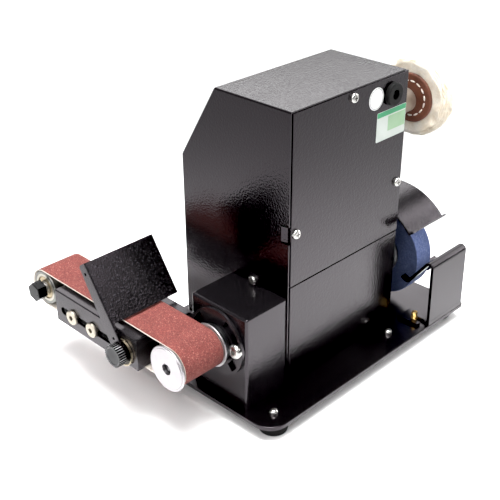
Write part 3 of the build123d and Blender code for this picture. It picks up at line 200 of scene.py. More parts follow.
def abrasive(name, base, dark, light, spark, grit_mm, depth=0.00018, rough=0.9, painted_shade_x_mm=None):
    """Bonded or coated abrasive: packed grains with a few bright and dark ones. Beyond the given X in mm the colour
    is darkened: painted shade on the side face that is turned from the light."""
    m, t, b = new_material(name)
    v = coords(t)
    vor = add(t, "ShaderNodeTexVoronoi")
    vor.inputs["Scale"].default_value = 1.0 / (grit_mm * MM)
    t.links.new(v, vor.inputs["Vector"])
    sep = add(t, "ShaderNodeSeparateColor")
    t.links.new(vor.outputs["Color"], sep.inputs["Color"])
    grains = ramp(t, sep.outputs["Red"], [(0.0, dark), (0.3, base), (0.8, base), (0.93, light), (1.0, spark)])
    cloud = noise_tex(t, v, 120.0, 4.0, 0.6)
    shade = ramp(t, cloud.outputs["Fac"], [(0.3, 0.84), (0.7, 1.08)])
    col = mix_colour(t, 1.0, grains, shade, "MULTIPLY")
    # painted shade: past the given X the colour is multiplied down to 0.28 to stand in for the shade on the wheel's
    # side face
    if painted_shade_x_mm is not None:
        xyz = add(t, "ShaderNodeSeparateXYZ")
        t.links.new(v, xyz.inputs["Vector"])
        side = remap(t, xyz.outputs["X"], 0.0, 1.0, (painted_shade_x_mm - 0.35) * MM, (painted_shade_x_mm - 0.05) * MM)
        col = mix_colour(t, 1.0, col, ramp(t, side, [(0.0, 1.0), (1.0, 0.28)]), "MULTIPLY")
    t.links.new(col, b.inputs["Base Color"])
    b.inputs["Roughness"].default_value = rough
    b.inputs["Specular IOR Level"].default_value = 0.3
    bump(t, b, vor.outputs["Distance"], 0.55, depth)
    return m


def cloth(name, base, dark, light, thread_mm, rough=0.95):
    """Loose cotton cloth with a plain weave and soft stains."""
    m, t, b = new_material(name)
    v = coords(t)
    stain = noise_tex(t, v, 90.0, 5.0, 0.6)
    fluff = noise_tex(t, v, 900.0, 4.0, 0.7)
    col = ramp(t, stain.outputs["Fac"], [(0.25, dark), (0.5, base), (0.75, light)])
    shade = ramp(t, fluff.outputs["Fac"], [(0.25, 0.86), (0.7, 1.05)])
    t.links.new(mix_colour(t, 1.0, col, shade, "MULTIPLY"), b.inputs["Base Color"])
    b.inputs["Roughness"].default_value = rough
    b.inputs["Specular IOR Level"].default_value = 0.15
    b.inputs["Sheen Weight"].default_value = 0.35
    b.inputs["Sheen Roughness"].default_value = 0.6
    s = 2 * math.pi / (20 * thread_mm * MM)
    for axis in ("Y", "Z"):
        w = add(t, "ShaderNodeTexWave")
        w.bands_direction = axis
        w.inputs["Scale"].default_value = s
        w.inputs["Distortion"].default_value = 3.0
        w.inputs["Detail Scale"].default_value = 2.0
        t.links.new(v, w.inputs["Vector"])
        bump(t, b, w.outputs["Fac"], 0.25, 0.00012)
    bump(t, b, fluff.outputs["Fac"], 0.6, 0.0003)
    return m


def leather(name, base, dark, light):
    m, t, b = new_material(name)
    v = coords(t)
    vor = add(t, "ShaderNodeTexVoronoi")
    vor.inputs["Scale"].default_value = 1250.0
    t.links.new(v, vor.inputs["Vector"])
    patch = noise_tex(t, v, 160.0, 5.0, 0.6)
    col = ramp(t, patch.outputs["Fac"], [(0.25, dark), (0.5, base), (0.78, light)])
    pores = ramp(t, vor.outputs["Distance"], [(0.0, 0.72), (0.35, 1.0)])
    t.links.new(mix_colour(t, 1.0, col, pores, "MULTIPLY"), b.inputs["Base Color"])
    t.links.new(remap(t, patch.outputs["Fac"], 0.5, 0.72, 0.3, 0.7), b.inputs["Roughness"])
    bump(t, b, vor.outputs["Distance"], 0.4, 0.00018)
    bump(t, b, patch.outputs["Fac"], 0.35, 0.0004)
    return m


def paper(name, colour, shade):
    m, t, b = new_material(name)
    v = coords(t)
    n = noise_tex(t, v, 700.0, 4.0, 0.6)
    big = noise_tex(t, v, 60.0, 3.0, 0.5)
    t.links.new(ramp(t, big.outputs["Fac"], [(0.3, shade), (0.7, colour)]), b.inputs["Base Color"])
    b.inputs["Roughness"].default_value = 0.42
    bump(t, b, n.outputs["Fac"], 0.08, 0.00008)
    return m


def bearing_face(name, cy, cz):
    """Ball bearing seen from its end: rings and a warm shield, told apart by radius."""
    m, t, b = new_material(name)
    v = coords(t, (0, 1, 1), (0, cy, cz))
    ln = add(t, "ShaderNodeVectorMath", operation="LENGTH")
    t.links.new(v, ln.inputs[0])
    r = remap(t, ln.outputs["Value"], 0.0, 1.0, 0.003, 0.0096)
    col = ramp(t, r, [(0.0, (0.4, 0.38, 0.33)), (0.24, (0.4, 0.38, 0.33)), (0.27, (0.09, 0.06, 0.03)),
                      (0.31, (0.30, 0.22, 0.12)), (0.5, (0.46, 0.39, 0.26)), (0.66, (0.26, 0.18, 0.09)),
                      (0.71, (0.06, 0.04, 0.02)), (0.75, (0.40, 0.38, 0.33)), (1.0, (0.46, 0.44, 0.38))])
    t.links.new(col, b.inputs["Base Color"])
    b.inputs["Metallic"].default_value = 0.85
    n = noise_tex(t, coords(t), 500.0, 3.0, 0.6)
    t.links.new(remap(t, n.outputs["Fac"], 0.26, 0.4, 0.3, 0.7), b.inputs["Roughness"])
    bump(t, b, n.outputs["Fac"], 0.05, 0.00006)
    return m


def ringed_metal(name, cy, cz, stops, rough, metallic=1.0):
    """A metal whose colour changes with the distance from an X axis. stops: (radius mm, colour)."""
    m, t, b = new_material(name)
    ln = add(t, "ShaderNodeVectorMath", operation="LENGTH")
    t.links.new(coords(t, (0, 1, 1), (0, cy, cz)), ln.inputs[0])
    r = remap(t, ln.outputs["Value"], 0.0, 1.0, 0.0, 0.010)
    n = noise_tex(t, coords(t), 600.0, 3.0, 0.6)
    shade = ramp(t, n.outputs["Fac"], [(0.3, 0.85), (0.7, 1.1)])
    col = ramp(t, r, [(q / 10.0, c) for q, c in stops])
    t.links.new(mix_colour(t, 1.0, col, shade, "MULTIPLY"), b.inputs["Base Color"])
    b.inputs["Metallic"].default_value = metallic
    t.links.new(remap(t, n.outputs["Fac"], rough - 0.05, rough + 0.06, 0.3, 0.7), b.inputs["Roughness"])
    bump(t, b, n.outputs["Fac"], 0.08, 0.00008)
    return m


COAT = powder_coat("black_powder_coat", (0.0006, 0.0005, 0.0006), (0.0015, 0.0013, 0.0015), 0.14, 0.42, 760.0)
COAT_BOX = powder_coat("black_box_coat", (0.0024, 0.0021, 0.0024), (0.0042, 0.0038, 0.0043), 0.16, 0.45, 1000.0,
                       speck=(0.015, 0.0138, 0.0153))
COAT_PLATE = powder_coat("black_plate_coat", (0.0008, 0.0007, 0.0008), (0.0020, 0.0018, 0.0020), 0.19, 0.18, 760.0)
COAT_GUIDE = powder_coat("black_guide_coat", (0.0003, 0.0003, 0.0003), (0.0010, 0.0009, 0.0010), 0.15, 0.5, 1080.0,
                         speck=(0.017, 0.0156, 0.0175))
COAT_GUARD = powder_coat("black_guard_coat", (0.0006, 0.0005, 0.0006), (0.0015, 0.0013, 0.0015), 0.17, 0.7, 1000.0)
ARM = powder_coat("dark_arm_coat", (0.005, 0.0045, 0.005), (0.012, 0.011, 0.012), 0.24, 0.2, 900.0)
ZINC = metal("bright_zinc", (0.56, 0.55, 0.53), 0.2, scratch=0.05)
CREAM_ZINC = metal("yellowed_zinc", (0.50, 0.46, 0.39), 0.38, scratch=0.06, tint=(0.36, 0.32, 0.26))
STEEL = metal("machined_steel", (0.62, 0.62, 0.63), 0.3, scratch=0.08)
SHAFT = metal("ground_shaft", (0.22, 0.22, 0.23), 0.26, ("X", AXIS_Y, AXIS_Z, 0.35), 0.05)
PULLEY = metal("turned_aluminium_pulley", (0.45, 0.43, 0.445), 0.34, ("X", AXIS_Y, AXIS_Z, 0.42), 0.06,
               (0.40, 0.38, 0.395))
# painted shade: the idler's aluminium is kept darker than the pulley's (0.20 against 0.45) to stand in for the shade
# on its face
IDLER = metal("turned_aluminium_idler_darkened_as_shade", (0.20, 0.20, 0.188), 0.32, ("X", IDLER_Y, IDLER_Z, 0.4), 0.05,
              (0.15, 0.15, 0.142))
HUB = metal("turned_aluminium_hub", (0.54, 0.48, 0.42), 0.36, ("X", BUFF_Y, BUFF_Z, 0.45), 0.06,
            (0.44, 0.39, 0.33))
ALU = metal("cast_aluminium", (0.78, 0.78, 0.79), 0.42, scratch=0.1)
DARK_STEEL = metal("browned_steel", (0.085, 0.083, 0.082), 0.4, scratch=0.08, tint=(0.05, 0.05, 0.05))
OXIDE = metal("black_oxide_steel", (0.075, 0.075, 0.078), 0.34, scratch=0.07, tint=(0.045, 0.045, 0.047))
BOLT = metal("black_bolt_steel", (0.030, 0.030, 0.031), 0.3, scratch=0.07, tint=(0.018, 0.018, 0.019))
# painted highlight and painted shade: by radius the knurl's ridge tops past 7.06 mm are bright and the groove bottoms
# just inside are near black
KNOB = ringed_metal("black_knob_painted_ridge_light", KNOB_Y, KNOB_Z,
                    [(0.0, (0.030, 0.030, 0.031)), (5.2, (0.048, 0.048, 0.050)), (5.75, (0.11, 0.11, 0.114)),
                     (6.3, (0.050, 0.050, 0.052)), (6.72, (0.004, 0.004, 0.004)), (6.98, (0.02, 0.02, 0.02)),
                     (7.06, (0.36, 0.36, 0.37))], 0.34)
# painted shade: inside 8 mm radius the washer's face is near black for the shadow round the knob; the gold rim from
# 8.5 mm out is the washer's own colour
WASHER_PAINTED_SHADE = ringed_metal("washer_steel_painted_shade", KNOB_Y, KNOB_Z,
                      [(0.0, (0.02, 0.018, 0.015)), (8.0, (0.03, 0.026, 0.02)), (8.5, (0.30, 0.25, 0.17)),
                       (9.0, (0.48, 0.41, 0.29))], 0.28)
BRASS = metal("turned_brass", (0.86, 0.60, 0.22), 0.26, scratch=0.06, tint=(0.6, 0.36, 0.12))
BEARING = bearing_face("bearing_with_shield", IDLER_Y, IDLER_Z)
RUBBER = plastic("black_rubber", (0.003, 0.003, 0.003), (0.006, 0.006, 0.006), 0.72, 0.3, 900.0)
RUBBER.node_tree.nodes["Principled BSDF"].inputs["Specular IOR Level"].default_value = 0.14
BLACK = plastic("black_plastic", (0.010, 0.010, 0.011), (0.017, 0.017, 0.018), 0.42)
JACK = plastic("inlet_plastic", (0.003, 0.003, 0.003), (0.006, 0.006, 0.006), 0.55)
JACK.node_tree.nodes["Principled BSDF"].inputs["Specular IOR Level"].default_value = 0.18
BOARD = plastic("circuit_board", (0.01, 0.11, 0.04), (0.02, 0.17, 0.06), 0.4)
GRIT = abrasive("belt_grit", (0.152, 0.039, 0.033), (0.062, 0.015, 0.013), (0.215, 0.066, 0.057), (0.34, 0.17, 0.145), 0.34)
BACKING = cloth("belt_backing", (0.52, 0.40, 0.30), (0.42, 0.31, 0.23), (0.6, 0.48, 0.37), 0.5)
BELT_EDGE = cloth("belt_edge", (0.60, 0.54, 0.48), (0.48, 0.40, 0.34), (0.68, 0.63, 0.58), 0.4)
# the wheel's side face, from X = -86 mm towards +X, gets painted shade
WHEEL = abrasive("wheel_grit", (0.138, 0.182, 0.372), (0.074, 0.103, 0.225), (0.19, 0.243, 0.45), (0.265, 0.32, 0.52), 0.5,
                 painted_shade_x_mm=-86.0)
COTTON = cloth("cotton", (0.89, 0.81, 0.68), (0.70, 0.57, 0.40), (0.95, 0.93, 0.87), 0.55)
FIBRE = cloth("cotton_fibre", (0.88, 0.84, 0.76), (0.8, 0.73, 0.62), (0.93, 0.91, 0.86), 0.3)
LEATHER = leather("brown_leather", (0.130, 0.041, 0.021), (0.078, 0.024, 0.012), (0.188, 0.066, 0.036))
THREAD = cloth("stitch_thread", (0.86, 0.80, 0.72), (0.72, 0.62, 0.52), (0.92, 0.89, 0.83), 0.25)
PAPER = paper("white_paper", (0.80, 0.81, 0.80), (0.74, 0.75, 0.74))
LABEL = paper("label_paper", (0.50, 0.54, 0.51), (0.42, 0.46, 0.43))
GREEN = paper("green_print", (0.035, 0.30, 0.13), (0.025, 0.24, 0.10))
PALE_GREEN = paper("pale_green_print", (0.28, 0.42, 0.27), (0.22, 0.36, 0.21))
INK = paper("grey_print", (0.10, 0.10, 0.11), (0.075, 0.075, 0.08))
WHITE_PRINT = paper("white_print", (0.78, 0.78, 0.76), (0.7, 0.7, 0.68))


def paint(material, *names):
    for n in names:
        o = NODES[n]
        o.data.materials.clear()
        o.data.materials.append(material)


paint(COAT, "housing_body", "wheel_side_panel", "lower_back_panel", "rear_cover")
paint(COAT_GUARD, "wheel_guard")
paint(COAT_BOX, "drive_box")
paint(COAT_PLATE, "base_plate", "tool_rest")
paint(COAT_GUIDE, "knife_guide")
paint(ARM, "arm_channel")
paint(RUBBER, "rubber_feet")
paint(CREAM_ZINC, "slot_screws")
paint(ZINC, "foot_screws", "rear_cover_screws", "drive_box_screw", "arm_clamp_screws", "panel_screws",
      "guard_screws", "buff_motor_screws", "housing_screws", "motor_screws")
paint(STEEL, "buff_shaft", "shaft_bearings", "motor_armature", "motor_can", "motor_bracket",
      "pulley_grub_screw", "wheel_nut", "buff_motor", "board_standoffs", "guide_nut", "idler_spacers",
      "dc_jack_nut")
paint(SHAFT, "spindle_shaft")
paint(PULLEY, "drive_pulley")
paint(IDLER, "idler_roller")
paint(HUB, "buff_spindle")
paint(ALU, "motor_end_bells")
paint(OXIDE, "pivot_hub")
paint(DARK_STEEL, "tension_slide")
paint(BOLT, "idler_bolt")
paint(OXIDE, "wheel_flanges")
paint(KNOB, "guide_knob")
paint(WASHER_PAINTED_SHADE, "guide_washer")
paint(BEARING, "idler_bearings")
paint(BLACK, "switch_body", "switch_rocker", "speed_knob", "speed_pot", "rest_stud_nut")
paint(JACK, "dc_jack")
paint(BOARD, "control_board")
paint(WHEEL, "grinding_wheel")


# -------------------------------------------------------------- mesh helpers
def make(name, verts, faces, materials, body, mat_index=None, smooth=True):
    """A piece from points in millimetres, in the row frame."""
    me = bpy.data.meshes.new(name)
    me.from_pydata([Vector(v) * MM for v in verts], [], faces)
    for m in materials:
        me.materials.append(m)
    if mat_index:
        me.polygons.foreach_set("material_index", mat_index)
    me.polygons.foreach_set("use_smooth", [smooth] * len(me.polygons))
    me.validate()
    me.update()
    o = bpy.data.objects.new(name, me)
    bpy.context.scene.collection.objects.link(o)
    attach(o, body)
    return o


def outward(o):
    """Turns every face of a closed mesh to face outwards."""
    bm = bmesh.new()
    bm.from_mesh(o.data)
    bmesh.ops.recalc_face_normals(bm, faces=bm.faces)
    bm.to_mesh(o.data)
    bm.free()
    return o


def turned(profile, cy, cz, segs):
    """Closed ring swept about an X axis through (cy, cz). profile: closed list of (x, r)."""
    verts, faces = [], []
    k = len(profile)
    for i in range(segs):
        a = 2 * math.pi * i / segs
        for x, r in profile:
            verts.append((x, cy + r * math.cos(a), cz + r * math.sin(a)))
    for i in range(segs):
        j = (i + 1) % segs
        for p in range(k):
            q = (p + 1) % k
            faces.append((i * k + p, i * k + q, j * k + q, j * k + p))
    return verts, faces


def tube(points, radius, sides=6):
    """Verts and faces of a closed thin rod along points."""
    verts, faces = [], []
    n = len(points)
    pts = [Vector(p) for p in points]
    ref = Vector((0.3, 0.5, 0.81))
    for i, p in enumerate(pts):
        d = (pts[min(i + 1, n - 1)] - pts[max(i - 1, 0)]).normalized()
        a = d.cross(ref).normalized()
        b = d.cross(a)
        rr = radius[i] if hasattr(radius, "__len__") else radius
        for s in range(sides):
            t = 2 * math.pi * s / sides
            verts.append(p + (a * math.cos(t) + b * math.sin(t)) * rr)
    for i in range(n - 1):
        for s in range(sides):
            u = (s + 1) % sides
            faces.append((i * sides + s, i * sides + u, (i + 1) * sides + u, (i + 1) * sides + s))
    faces.append(tuple(reversed(range(sides))))
    faces.append(tuple(range((n - 1) * sides, n * sides)))
    return verts, faces


def join_lists(parts):
    verts, faces = [], []
    for v, f in parts:
        o = len(verts)
        verts += [tuple(p) for p in v]
        faces += [tuple(i + o for i in q) for q in f]
    return verts, faces


def plate_prism(corners, normal, h0, h1):
    """Closed thin plate from corner points, between heights h0 and h1 along normal."""
    n = Vector(normal)
    k = len(corners)
    verts = [Vector(c) + n * h0 for c in corners] + [Vector(c) + n * h1 for c in corners]
    faces = [tuple(reversed(range(k))), tuple(range(k, 2 * k))]
    for i in range(k):
        j = (i + 1) % k
        faces.append((i, j, k + j, k + i))
    return verts, faces


# -------------------------------------------------------------- sanding belt
def belt_line(offset, straight, round_):
    """Points round the belt at an offset from the pulley centres, in (s, w)."""
    pts = []
    for i in range(straight):
        pts.append((CENTRES * i / straight, offset))
    for i in range(round_):
        a = math.pi / 2 - math.pi * i / round_
        pts.append((CENTRES + offset * math.cos(a), offset * math.sin(a)))
    for i in range(straight):
        pts.append((CENTRES * (1 - i / straight), -offset))
    for i in range(round_):
        a = -math.pi / 2 - math.pi * i / round_
        pts.append((offset * math.cos(a), offset * math.sin(a)))
    return pts


def make_belt():
    inner = belt_line(BELT_IN, 60, 40)
    outer = belt_line(BELT_OUT, 60, 40)
    n = len(inner)
    edge = 0.16
    xs_out = [BELT_X0 + edge] + [BELT_X0 + (BELT_X1 - BELT_X0) * i / 10 for i in range(1, 10)] + [BELT_X1 - edge]
    verts, faces, mats = [], [], []

    def place(x, s, w):
        return (x, AXIS_Y - s * math.cos(TILT) + w * math.sin(TILT), AXIS_Z + s * math.sin(TILT) + w * math.cos(TILT))

    ring = []                    # closed section: outer row, edge, inner row, edge
    for x in xs_out:
        ring.append((x, 1.0, 0))
    ring.append((BELT_X1, 0.8, 2))
    ring.append((BELT_X1, 0.1, 2))
    ring.append((BELT_X1 - 0.1, 0.0, 2))
    for x in (BELT_X0 + 22.0, BELT_X0 + 15.0, BELT_X0 + 8.0, BELT_X0 + 0.1):
        ring.append((x, 0.0, 1))
    ring.append((BELT_X0, 0.1, 2))
    ring.append((BELT_X0, 0.8, 2))
    k = len(ring)
    for i in range(n):
        for j, (x, t, _) in enumerate(ring):
            s = inner[i][0] + (outer[i][0] - inner[i][0]) * t
            w = inner[i][1] + (outer[i][1] - inner[i][1]) * t
            fray = 0.0
            if x in (BELT_X0, BELT_X1):
                fray = 0.10 * noise.noise(Vector((i * 0.9, x, 3.0)))
                fray = -abs(fray) if x == BELT_X1 else abs(fray)
            verts.append(place(x + fray, s, w))
    for i in range(n):
        i2 = (i + 1) % n
        for j in range(k):
            j2 = (j + 1) % k
            faces.append((i * k + j, i * k + j2, i2 * k + j2, i2 * k + j))
            if j < len(xs_out) - 1:
                mats.append(0)
            elif ring[j][2] == 1 and ring[j2][2] == 1:
                mats.append(1)
            else:
                mats.append(2)
    o = make("belt_loop", verts, faces, [GRIT, BACKING, BELT_EDGE], "arm", mats)
    outward(o)
    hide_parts("sanding_belt")
    return o


make_belt()


# ------------------------------------------------------------- buffing wheel
def make_cotton():
    """Sewn cloth plies with ruffled, frayed rims."""
    rnd = random.Random(7)
    plies = 15
    rings, segs = 13, 132
    parts = []
    x_mid, half = -109.75, 4.6
    for p in range(plies):
        f = -1 + 2 * p / (plies - 1)
        x0 = x_mid + half * f
        waves = rnd.choice((6, 7, 8, 9))
        ph1, ph2, ph3 = (rnd.uniform(0, 6.28) for _ in range(3))
        seed = rnd.uniform(0, 100)
        rim = 26.4 - 2.4 * abs(f) ** 2.2
        top, bot = [], []
        for i in range(rings):
            u = i / (rings - 1)
            for s in range(segs):
                a = 2 * math.pi * s / segs
                ca, sa = math.cos(a), math.sin(a)
                ragged = noise.noise(Vector((ca * 3.0, sa * 3.0, seed))) * 0.9 \
                    + noise.noise(Vector((ca * 11.0, sa * 11.0, seed + 9))) * 0.45
                r = 4.4 + (rim + ragged - 4.4) * u
                free = max(0.0, (r - 15.5) / 10.0)
                flare = f * 1.9 * free ** 1.5
                ruffle = free ** 1.2 * (0.85 * math.sin(waves * a + ph1) + 0.6 * math.sin((waves + 4) * a + ph2)
                                        + 0.9 * noise.noise(Vector((ca * 2.4, sa * 2.4, seed + 31))))
                x = x0 + flare + ruffle
                top.append((x + 0.16, BUFF_Y + r * ca, BUFF_Z + r * sa))
                bot.append((x - 0.16, BUFF_Y + r * ca, BUFF_Z + r * sa))
        n = len(top)
        faces = []
        for i in range(rings - 1):
            for s in range(segs):
                t = (s + 1) % segs
                faces.append((i * segs + s, i * segs + t, (i + 1) * segs + t, (i + 1) * segs + s))
                faces.append((n + i * segs + t, n + i * segs + s, n + (i + 1) * segs + s, n + (i + 1) * segs + t))
        for s in range(segs):
            t = (s + 1) % segs
            faces.append((s, n + s, n + t, t))
            e = (rings - 1) * segs
            faces.append((e + t, n + e + t, n + e + s, e + s))
        parts.append((top + bot, faces))
    verts, faces = join_lists(parts)
    o = make("buff_plies", verts, faces, [COTTON], "buff")
    outward(o)
    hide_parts("buff_cotton")
    return o


def make_fluff():
    """Loose fibre ends round the rim of the buff."""
    rnd = random.Random(11)
    parts = []
    for _ in range(900):
        a = rnd.uniform(0, 2 * math.pi)
        f = rnd.uniform(-1, 1)
        x = -109.75 + f * 5.6
        r0 = 25.8 - 3.2 * abs(f) ** 2.0 - rnd.uniform(0, 2.2)
        length = rnd.uniform(1.0, 2.6)
        da = rnd.uniform(-0.09, 0.09)
        dx = rnd.uniform(-0.9, 0.9) + f * 0.6
        pts = []
        for i in range(4):
            u = i / 3
            r = min(r0 + length * u * (1 - 0.25 * u), 27.2)
            ang = a + da * u * u
            pts.append((x + dx * u, BUFF_Y + r * math.cos(ang), BUFF_Z + r * math.sin(ang)))
        parts.append(tube(pts, [0.07, 0.06, 0.05, 0.02], 3))
    verts, faces = join_lists(parts)
    return make("buff_fibres", verts, faces, [FIBRE], "buff")


def make_leather():
    """Two leather discs with rounded rims and a pressed ring for the stitching."""
    parts = []
    for x_out, x_in, side in ((-102.5, -104.6, 1), (-117.0, -114.9, -1)):
        prof = []
        # from the bore, over the outer face to the rim and back along the inner face
        for r, d in ((4.3, 0.25), (4.7, 0.0), (7.5, 0.0), (9.8, 0.0), (10.6, 0.05), (11.1, 0.22), (11.6, 0.28),
                     (12.1, 0.22), (12.6, 0.05), (13.4, 0.0), (15.2, 0.02), (15.9, 0.14), (16.3, 0.42), (16.5, 0.9)):
            prof.append((x_out - side * d, r))
        prof.append((x_in, 16.4))
        prof.append((x_in, 4.3))
        parts.append(turned(prof, BUFF_Y, BUFF_Z, 96))
    verts, faces = join_lists(parts)
    # soft waviness of the cut rim
    out = []
    for v in verts:
        d = Vector((0, v[1] - BUFF_Y, v[2] - BUFF_Z))
        if d.length > 13:
            k = 1 + 0.012 * noise.noise(Vector((v[0] * 0.4, d.y * 0.22, d.z * 0.22)))
            d = d * min(k, 16.5 / d.length if d.length < 16.5 else 1.0)
        out.append((v[0], BUFF_Y + d.y, BUFF_Z + d.z))
    o = make("leather_faces", out, faces, [LEATHER], "buff")
    outward(o)
    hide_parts("leather_discs")
    return o


def make_stitches():
    """Thread on the outer faces of the leather."""
    parts = []
    rnd = random.Random(3)
    count = 15
    for x_face, side in ((-102.5, 1), (-117.0, -1)):
        for i in range(count):
            a0 = 2 * math.pi * (i + 0.14) / count
            a1 = 2 * math.pi * (i + 0.80) / count
            pts, rad = [], []
            jit = rnd.uniform(-0.15, 0.15)
            for q in range(9):
                u = q / 8
                a = a0 + (a1 - a0) * u
                r = 11.6 + jit * (1 if u < 0.5 else -1) * 0.6
                lift = 0.34 * math.sin(math.pi * u) ** 0.5 - 0.42
                pts.append((x_face + side * lift, BUFF_Y + r * math.cos(a), BUFF_Z + r * math.sin(a)))
                rad.append(0.2 + 0.36 * math.sin(math.pi * min(max(u, 0.04), 0.96)) ** 0.4)
            parts.append(tube(pts, rad, 8))
    verts, faces = join_lists(parts)
    return make("leather_stitches", verts, faces, [THREAD], "buff")


make_cotton()
make_fluff()
make_leather()
make_stitches()


# -------------------------------------------------------------- threaded stud
def make_stud():
    cx, cy = -80.5, 80.4
    prof = [(0.0, 3.4)]
    z = 3.4
    prof.append((2.1, 3.4))
    while z < 16.9:
        prof += [(2.15, z + 0.12), (1.86, z + 0.33), (1.86, z + 0.45), (2.15, z + 0.66)]
        z += 0.75
    prof += [(2.1, z + 0.1), (1.7, 17.8), (0.0, 17.8)]
    segs = 36
    verts, faces = [], []
    ring = []
    for r, h in prof:
        if r == 0.0:
            ring.append([len(verts)])
            verts.append((cx, cy, h))
        else:
            ids = []
            for s in range(segs):
                a = 2 * math.pi * s / segs
                ids.append(len(verts))
                verts.append((cx + r * math.cos(a), cy + r * math.sin(a), h))
            ring.append(ids)
    for p, q in zip(ring, ring[1:]):
        for s in range(segs):
            t = (s + 1) % segs
            if len(p) == 1:
                faces.append((p[0], q[t], q[s]))
            elif len(q) == 1:
                faces.append((p[s], p[t], q[0]))
            else:
                faces.append((p[s], p[t], q[t], q[s]))
    o = make("rest_stud_thread", verts, faces, [BRASS], "frame", smooth=False)
    outward(o)
    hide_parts("rest_stud")
    return o


make_stud()


# ------------------------------------------------------------------- stickers
def rounded(cx, cz, w, h, r, n=5):
    pts = []
    for sx, sz, a0 in ((1, 1, 0), (-1, 1, 90), (-1, -1, 180), (1, -1, 270)):
        for i in range(n + 1):
            a = math.radians(a0 + 90 * i / n)
            pts.append((cx + sx * (w / 2 - r) + r * math.cos(a), YB, cz + sz * (h / 2 - r) + r * math.sin(a)))
    return pts


def make_stickers():
    up = (0, 1, 0)
    # round sticker with a thin printed ring
    disc = [(-37.9 + 6.9 * math.cos(2 * math.pi * i / 72), YB, 179.4 + 6.9 * math.sin(2 * math.pi * i / 72))
            for i in range(72)]
    v, f = plate_prism(disc, up, 0.0, 0.16)
    o = make("round_sticker", v, f, [PAPER], "frame", smooth=False)
    outward(o)
    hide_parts("plain_stickers")
    parts = []
    for r0, r1 in ((6.05, 6.35),):
        n = 72
        verts, faces = [], []
        for i in range(n):
            a = 2 * math.pi * i / n
            for r, y in ((r0, 0.14), (r1, 0.14), (r1, 0.185), (r0, 0.185)):
                verts.append((-37.9 + r * math.cos(a), YB + y, 179.4 + r * math.sin(a)))
        for i in range(n):
            j = (i + 1) % n
            for q in range(4):
                q2 = (q + 1) % 4
                faces.append((i * 4 + q, i * 4 + q2, j * 4 + q2, j * 4 + q))
        parts.append((verts, faces))
    v, f = join_lists(parts)
    outward(make("round_sticker_ring", v, f, [INK], "frame", smooth=False))
    # rectangular label: green head strip and a pale green field, left blank
    v, f = plate_prism(rounded(-54.1, 160.2, 28.6, 18.8, 0.8), up, 0.0, 0.16)
    outward(make("blank_label", v, f, [LABEL], "frame", smooth=False))
    v, f = plate_prism(rounded(-54.1, 167.8, 28.2, 3.2, 0.4), up, 0.12, 0.18)
    outward(make("label_head", v, f, [GREEN], "frame", smooth=False))
    v, f = plate_prism(rounded(-59.4, 160.6, 17.4, 9.6, 0.4), up, 0.12, 0.18)
    outward(make("label_field", v, f, [PALE_GREEN], "frame", smooth=False))


make_stickers()


# ------------------------------------------- marks on the controls, front side
def on_slope(x, u, h):
    return Vector((x, 0, 0)) + SLOPE_MID + SLOPE_UP * u + SLOPE_N * h


def make_marks():
    parts = []
    for i in range(11):
        a = math.radians(90 + 135 - 27 * i)
        r0, r1, half = (9.4, 11.6, 0.34) if i % 5 == 0 else (9.8, 11.1, 0.22)
        c = []
        for r, s in ((r0, -1), (r1, -1), (r1, 1), (r0, 1)):
            x = r * math.cos(a) - s * half * math.sin(a)
            u = r * math.sin(a) + s * half * math.cos(a)
            c.append(on_slope(DIAL_X + x, DIAL_U + u, 0))
        parts.append(plate_prism(c, SLOPE_N, 0.0, 0.06))
    v, f = join_lists(parts)
    outward(make("dial_marks", v, f, [WHITE_PRINT], "frame", smooth=False))
    # pointer line in the speed knob's groove
    c = [on_slope(DIAL_X + x, DIAL_U + u, 9.2) for x, u in ((-0.45, 1.8), (0.45, 1.8), (0.45, 7.2), (-0.45, 7.2))]
    v, f = plate_prism(c, SLOPE_N, 0.0, 0.35)
    outward(make("pointer_line", v, f, [WHITE_PRINT], "speed_knob", smooth=False))


make_marks()


# ------------------------------------------------------- floor, light, camera
def make_floor():
    me = bpy.data.meshes.new("floor")
    s = 6.0
    me.from_pydata([(-s, -s, 0), (s, -s, 0), (s, s, 0), (-s, s, 0)], [], [(0, 1, 2, 3)])
    o = bpy.data.objects.new("floor", me)
    bpy.context.scene.collection.objects.link(o)
    m, t, b = new_material("pale_floor")
    n = noise_tex(t, coords(t), 3.0, 2.0, 0.5)
    t.links.new(ramp(t, n.outputs["Fac"], [(0.3, 0.86), (0.7, 0.88)]), b.inputs["Base Color"])
    b.inputs["Roughness"].default_value = 0.85
    b.inputs["Specular IOR Level"].default_value = 0.2
    me.materials.append(m)
    o.location.z = -0.00005


make_floor()

WORLD, POOL, BACK, RIGHT, FAR, FILL, LOW, FRONT, LEFT = 0.40, 2.5, 2.75, 4.8, 1.6, 4.6, 1.9, 4.6, 4.7

world = bpy.data.worlds.new("studio")
bpy.context.scene.world = world
world.use_nodes = True
# the studio is darker low down behind the wheel side
toward = world.node_tree.nodes.new("ShaderNodeTexCoord")
cone = world.node_tree.nodes.new("ShaderNodeVectorMath")
cone.operation = "DOT_PRODUCT"
cone.inputs[1].default_value = (-0.53, 0.73, 0.43)
world.node_tree.links.new(toward.outputs["Generated"], cone.inputs[0])
dusk = world.node_tree.nodes.new("ShaderNodeValToRGB")
dusk.color_ramp.elements[0].position, dusk.color_ramp.elements[0].color = 0.72, (1.0, 1.0, 1.0, 1.0)
dusk.color_ramp.elements[1].position, dusk.color_ramp.elements[1].color = 0.92, (0.1, 0.1, 0.1, 1.0)
world.node_tree.links.new(cone.outputs["Value"], dusk.inputs["Fac"])
world.node_tree.links.new(dusk.outputs["Color"], world.node_tree.nodes["Background"].inputs["Color"])
world.node_tree.nodes["Background"].inputs["Strength"].default_value = WORLD


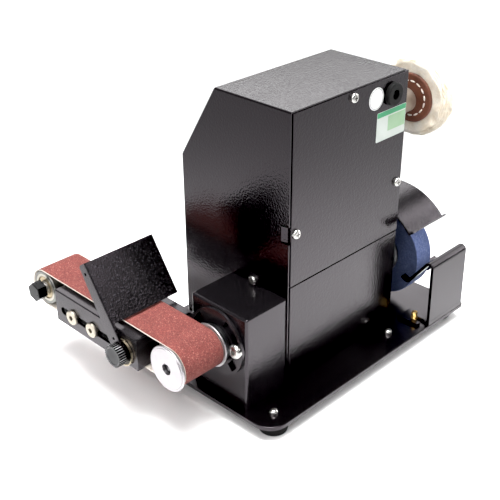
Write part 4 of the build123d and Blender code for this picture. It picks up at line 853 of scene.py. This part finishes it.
def softbox(name, at, target, size, radiance, colour=(1, 1, 1), spread=180.0):
    """An area light that shows as an even panel of the given brightness."""
    d = bpy.data.lights.new(name, "AREA")
    d.shape = "RECTANGLE"
    d.size, d.size_y = size
    d.energy = radiance * math.pi * size[0] * size[1]
    d.color = colour
    d.spread = math.radians(spread)
    o = bpy.data.objects.new(name, d)
    o.location = at
    o.rotation_mode = "QUATERNION"
    o.rotation_quaternion = (Vector(target) - Vector(at)).to_track_quat("-Z", "Y")
    o.visible_camera = False
    bpy.context.scene.collection.objects.link(o)
    return o


softbox("top_softbox", (0.01, 0.03, 0.54), (0.01, 0.03, 0), (0.5, 0.5), POOL, spread=50.0)
softbox("front_softbox", (0.73, 0.70, 1.30), (0, 0, 0.05), (0.85, 0.85), FRONT)
softbox("left_softbox", (1.25, 0.15, 0.75), (0.1, 0, 0), (0.7, 0.7), LEFT)
softbox("back_softbox", (-0.95, -0.95, 1.07), (0, 0, 0.12), (1.5, 0.9), BACK)
softbox("right_softbox", (-0.86, 0.32, 0.67), (-0.1, 0.07, 0.085), (0.4, 0.28), RIGHT)
softbox("guide_light", (-0.36, 0.88, 0.80), (0.09, -0.01, 0.08), (0.32, 0.32), FILL)
softbox("low_softbox", (-0.95, 0.5, 0.3), (-0.1, 0.06, 0.1), (0.3, 0.3), LOW, spread=60.0)
softbox("backdrop_light", (-0.8, -0.8, 1.3), (-0.8, -0.8, 0), (0.8, 0.8), FAR, spread=72.0)


def make_camera():
    az, el, roll = math.radians(134.38), math.radians(28.61), math.radians(-0.248)
    back = Vector((math.sin(az) * math.cos(el), -math.cos(az) * math.cos(el), math.sin(el)))
    right = (-back).cross(Vector((0, 0, 1))).normalized()
    up = right.cross(-back)
    r2 = right * math.cos(roll) + up * math.sin(roll)
    u2 = up * math.cos(roll) - right * math.sin(roll)
    d = bpy.data.cameras.new("photo_camera")
    d.sensor_width = 36.0
    d.lens = 949.4 * 36.0 / 500.0
    d.clip_start, d.clip_end = 0.01, 50.0
    o = bpy.data.objects.new("photo_camera", d)
    m = Matrix((r2, u2, back)).transposed().to_4x4()
    m.translation = Vector((0.39531, 0.38729, 0.36927))
    o.matrix_world = m
    bpy.context.scene.collection.objects.link(o)
    bpy.context.scene.camera = o


make_camera()
view = bpy.context.scene.view_settings
view.view_transform = "Standard"
view.use_curve_mapping = True
view.curve_mapping.black_level = (0.0058, 0.0058, 0.0058)
view.curve_mapping.update()
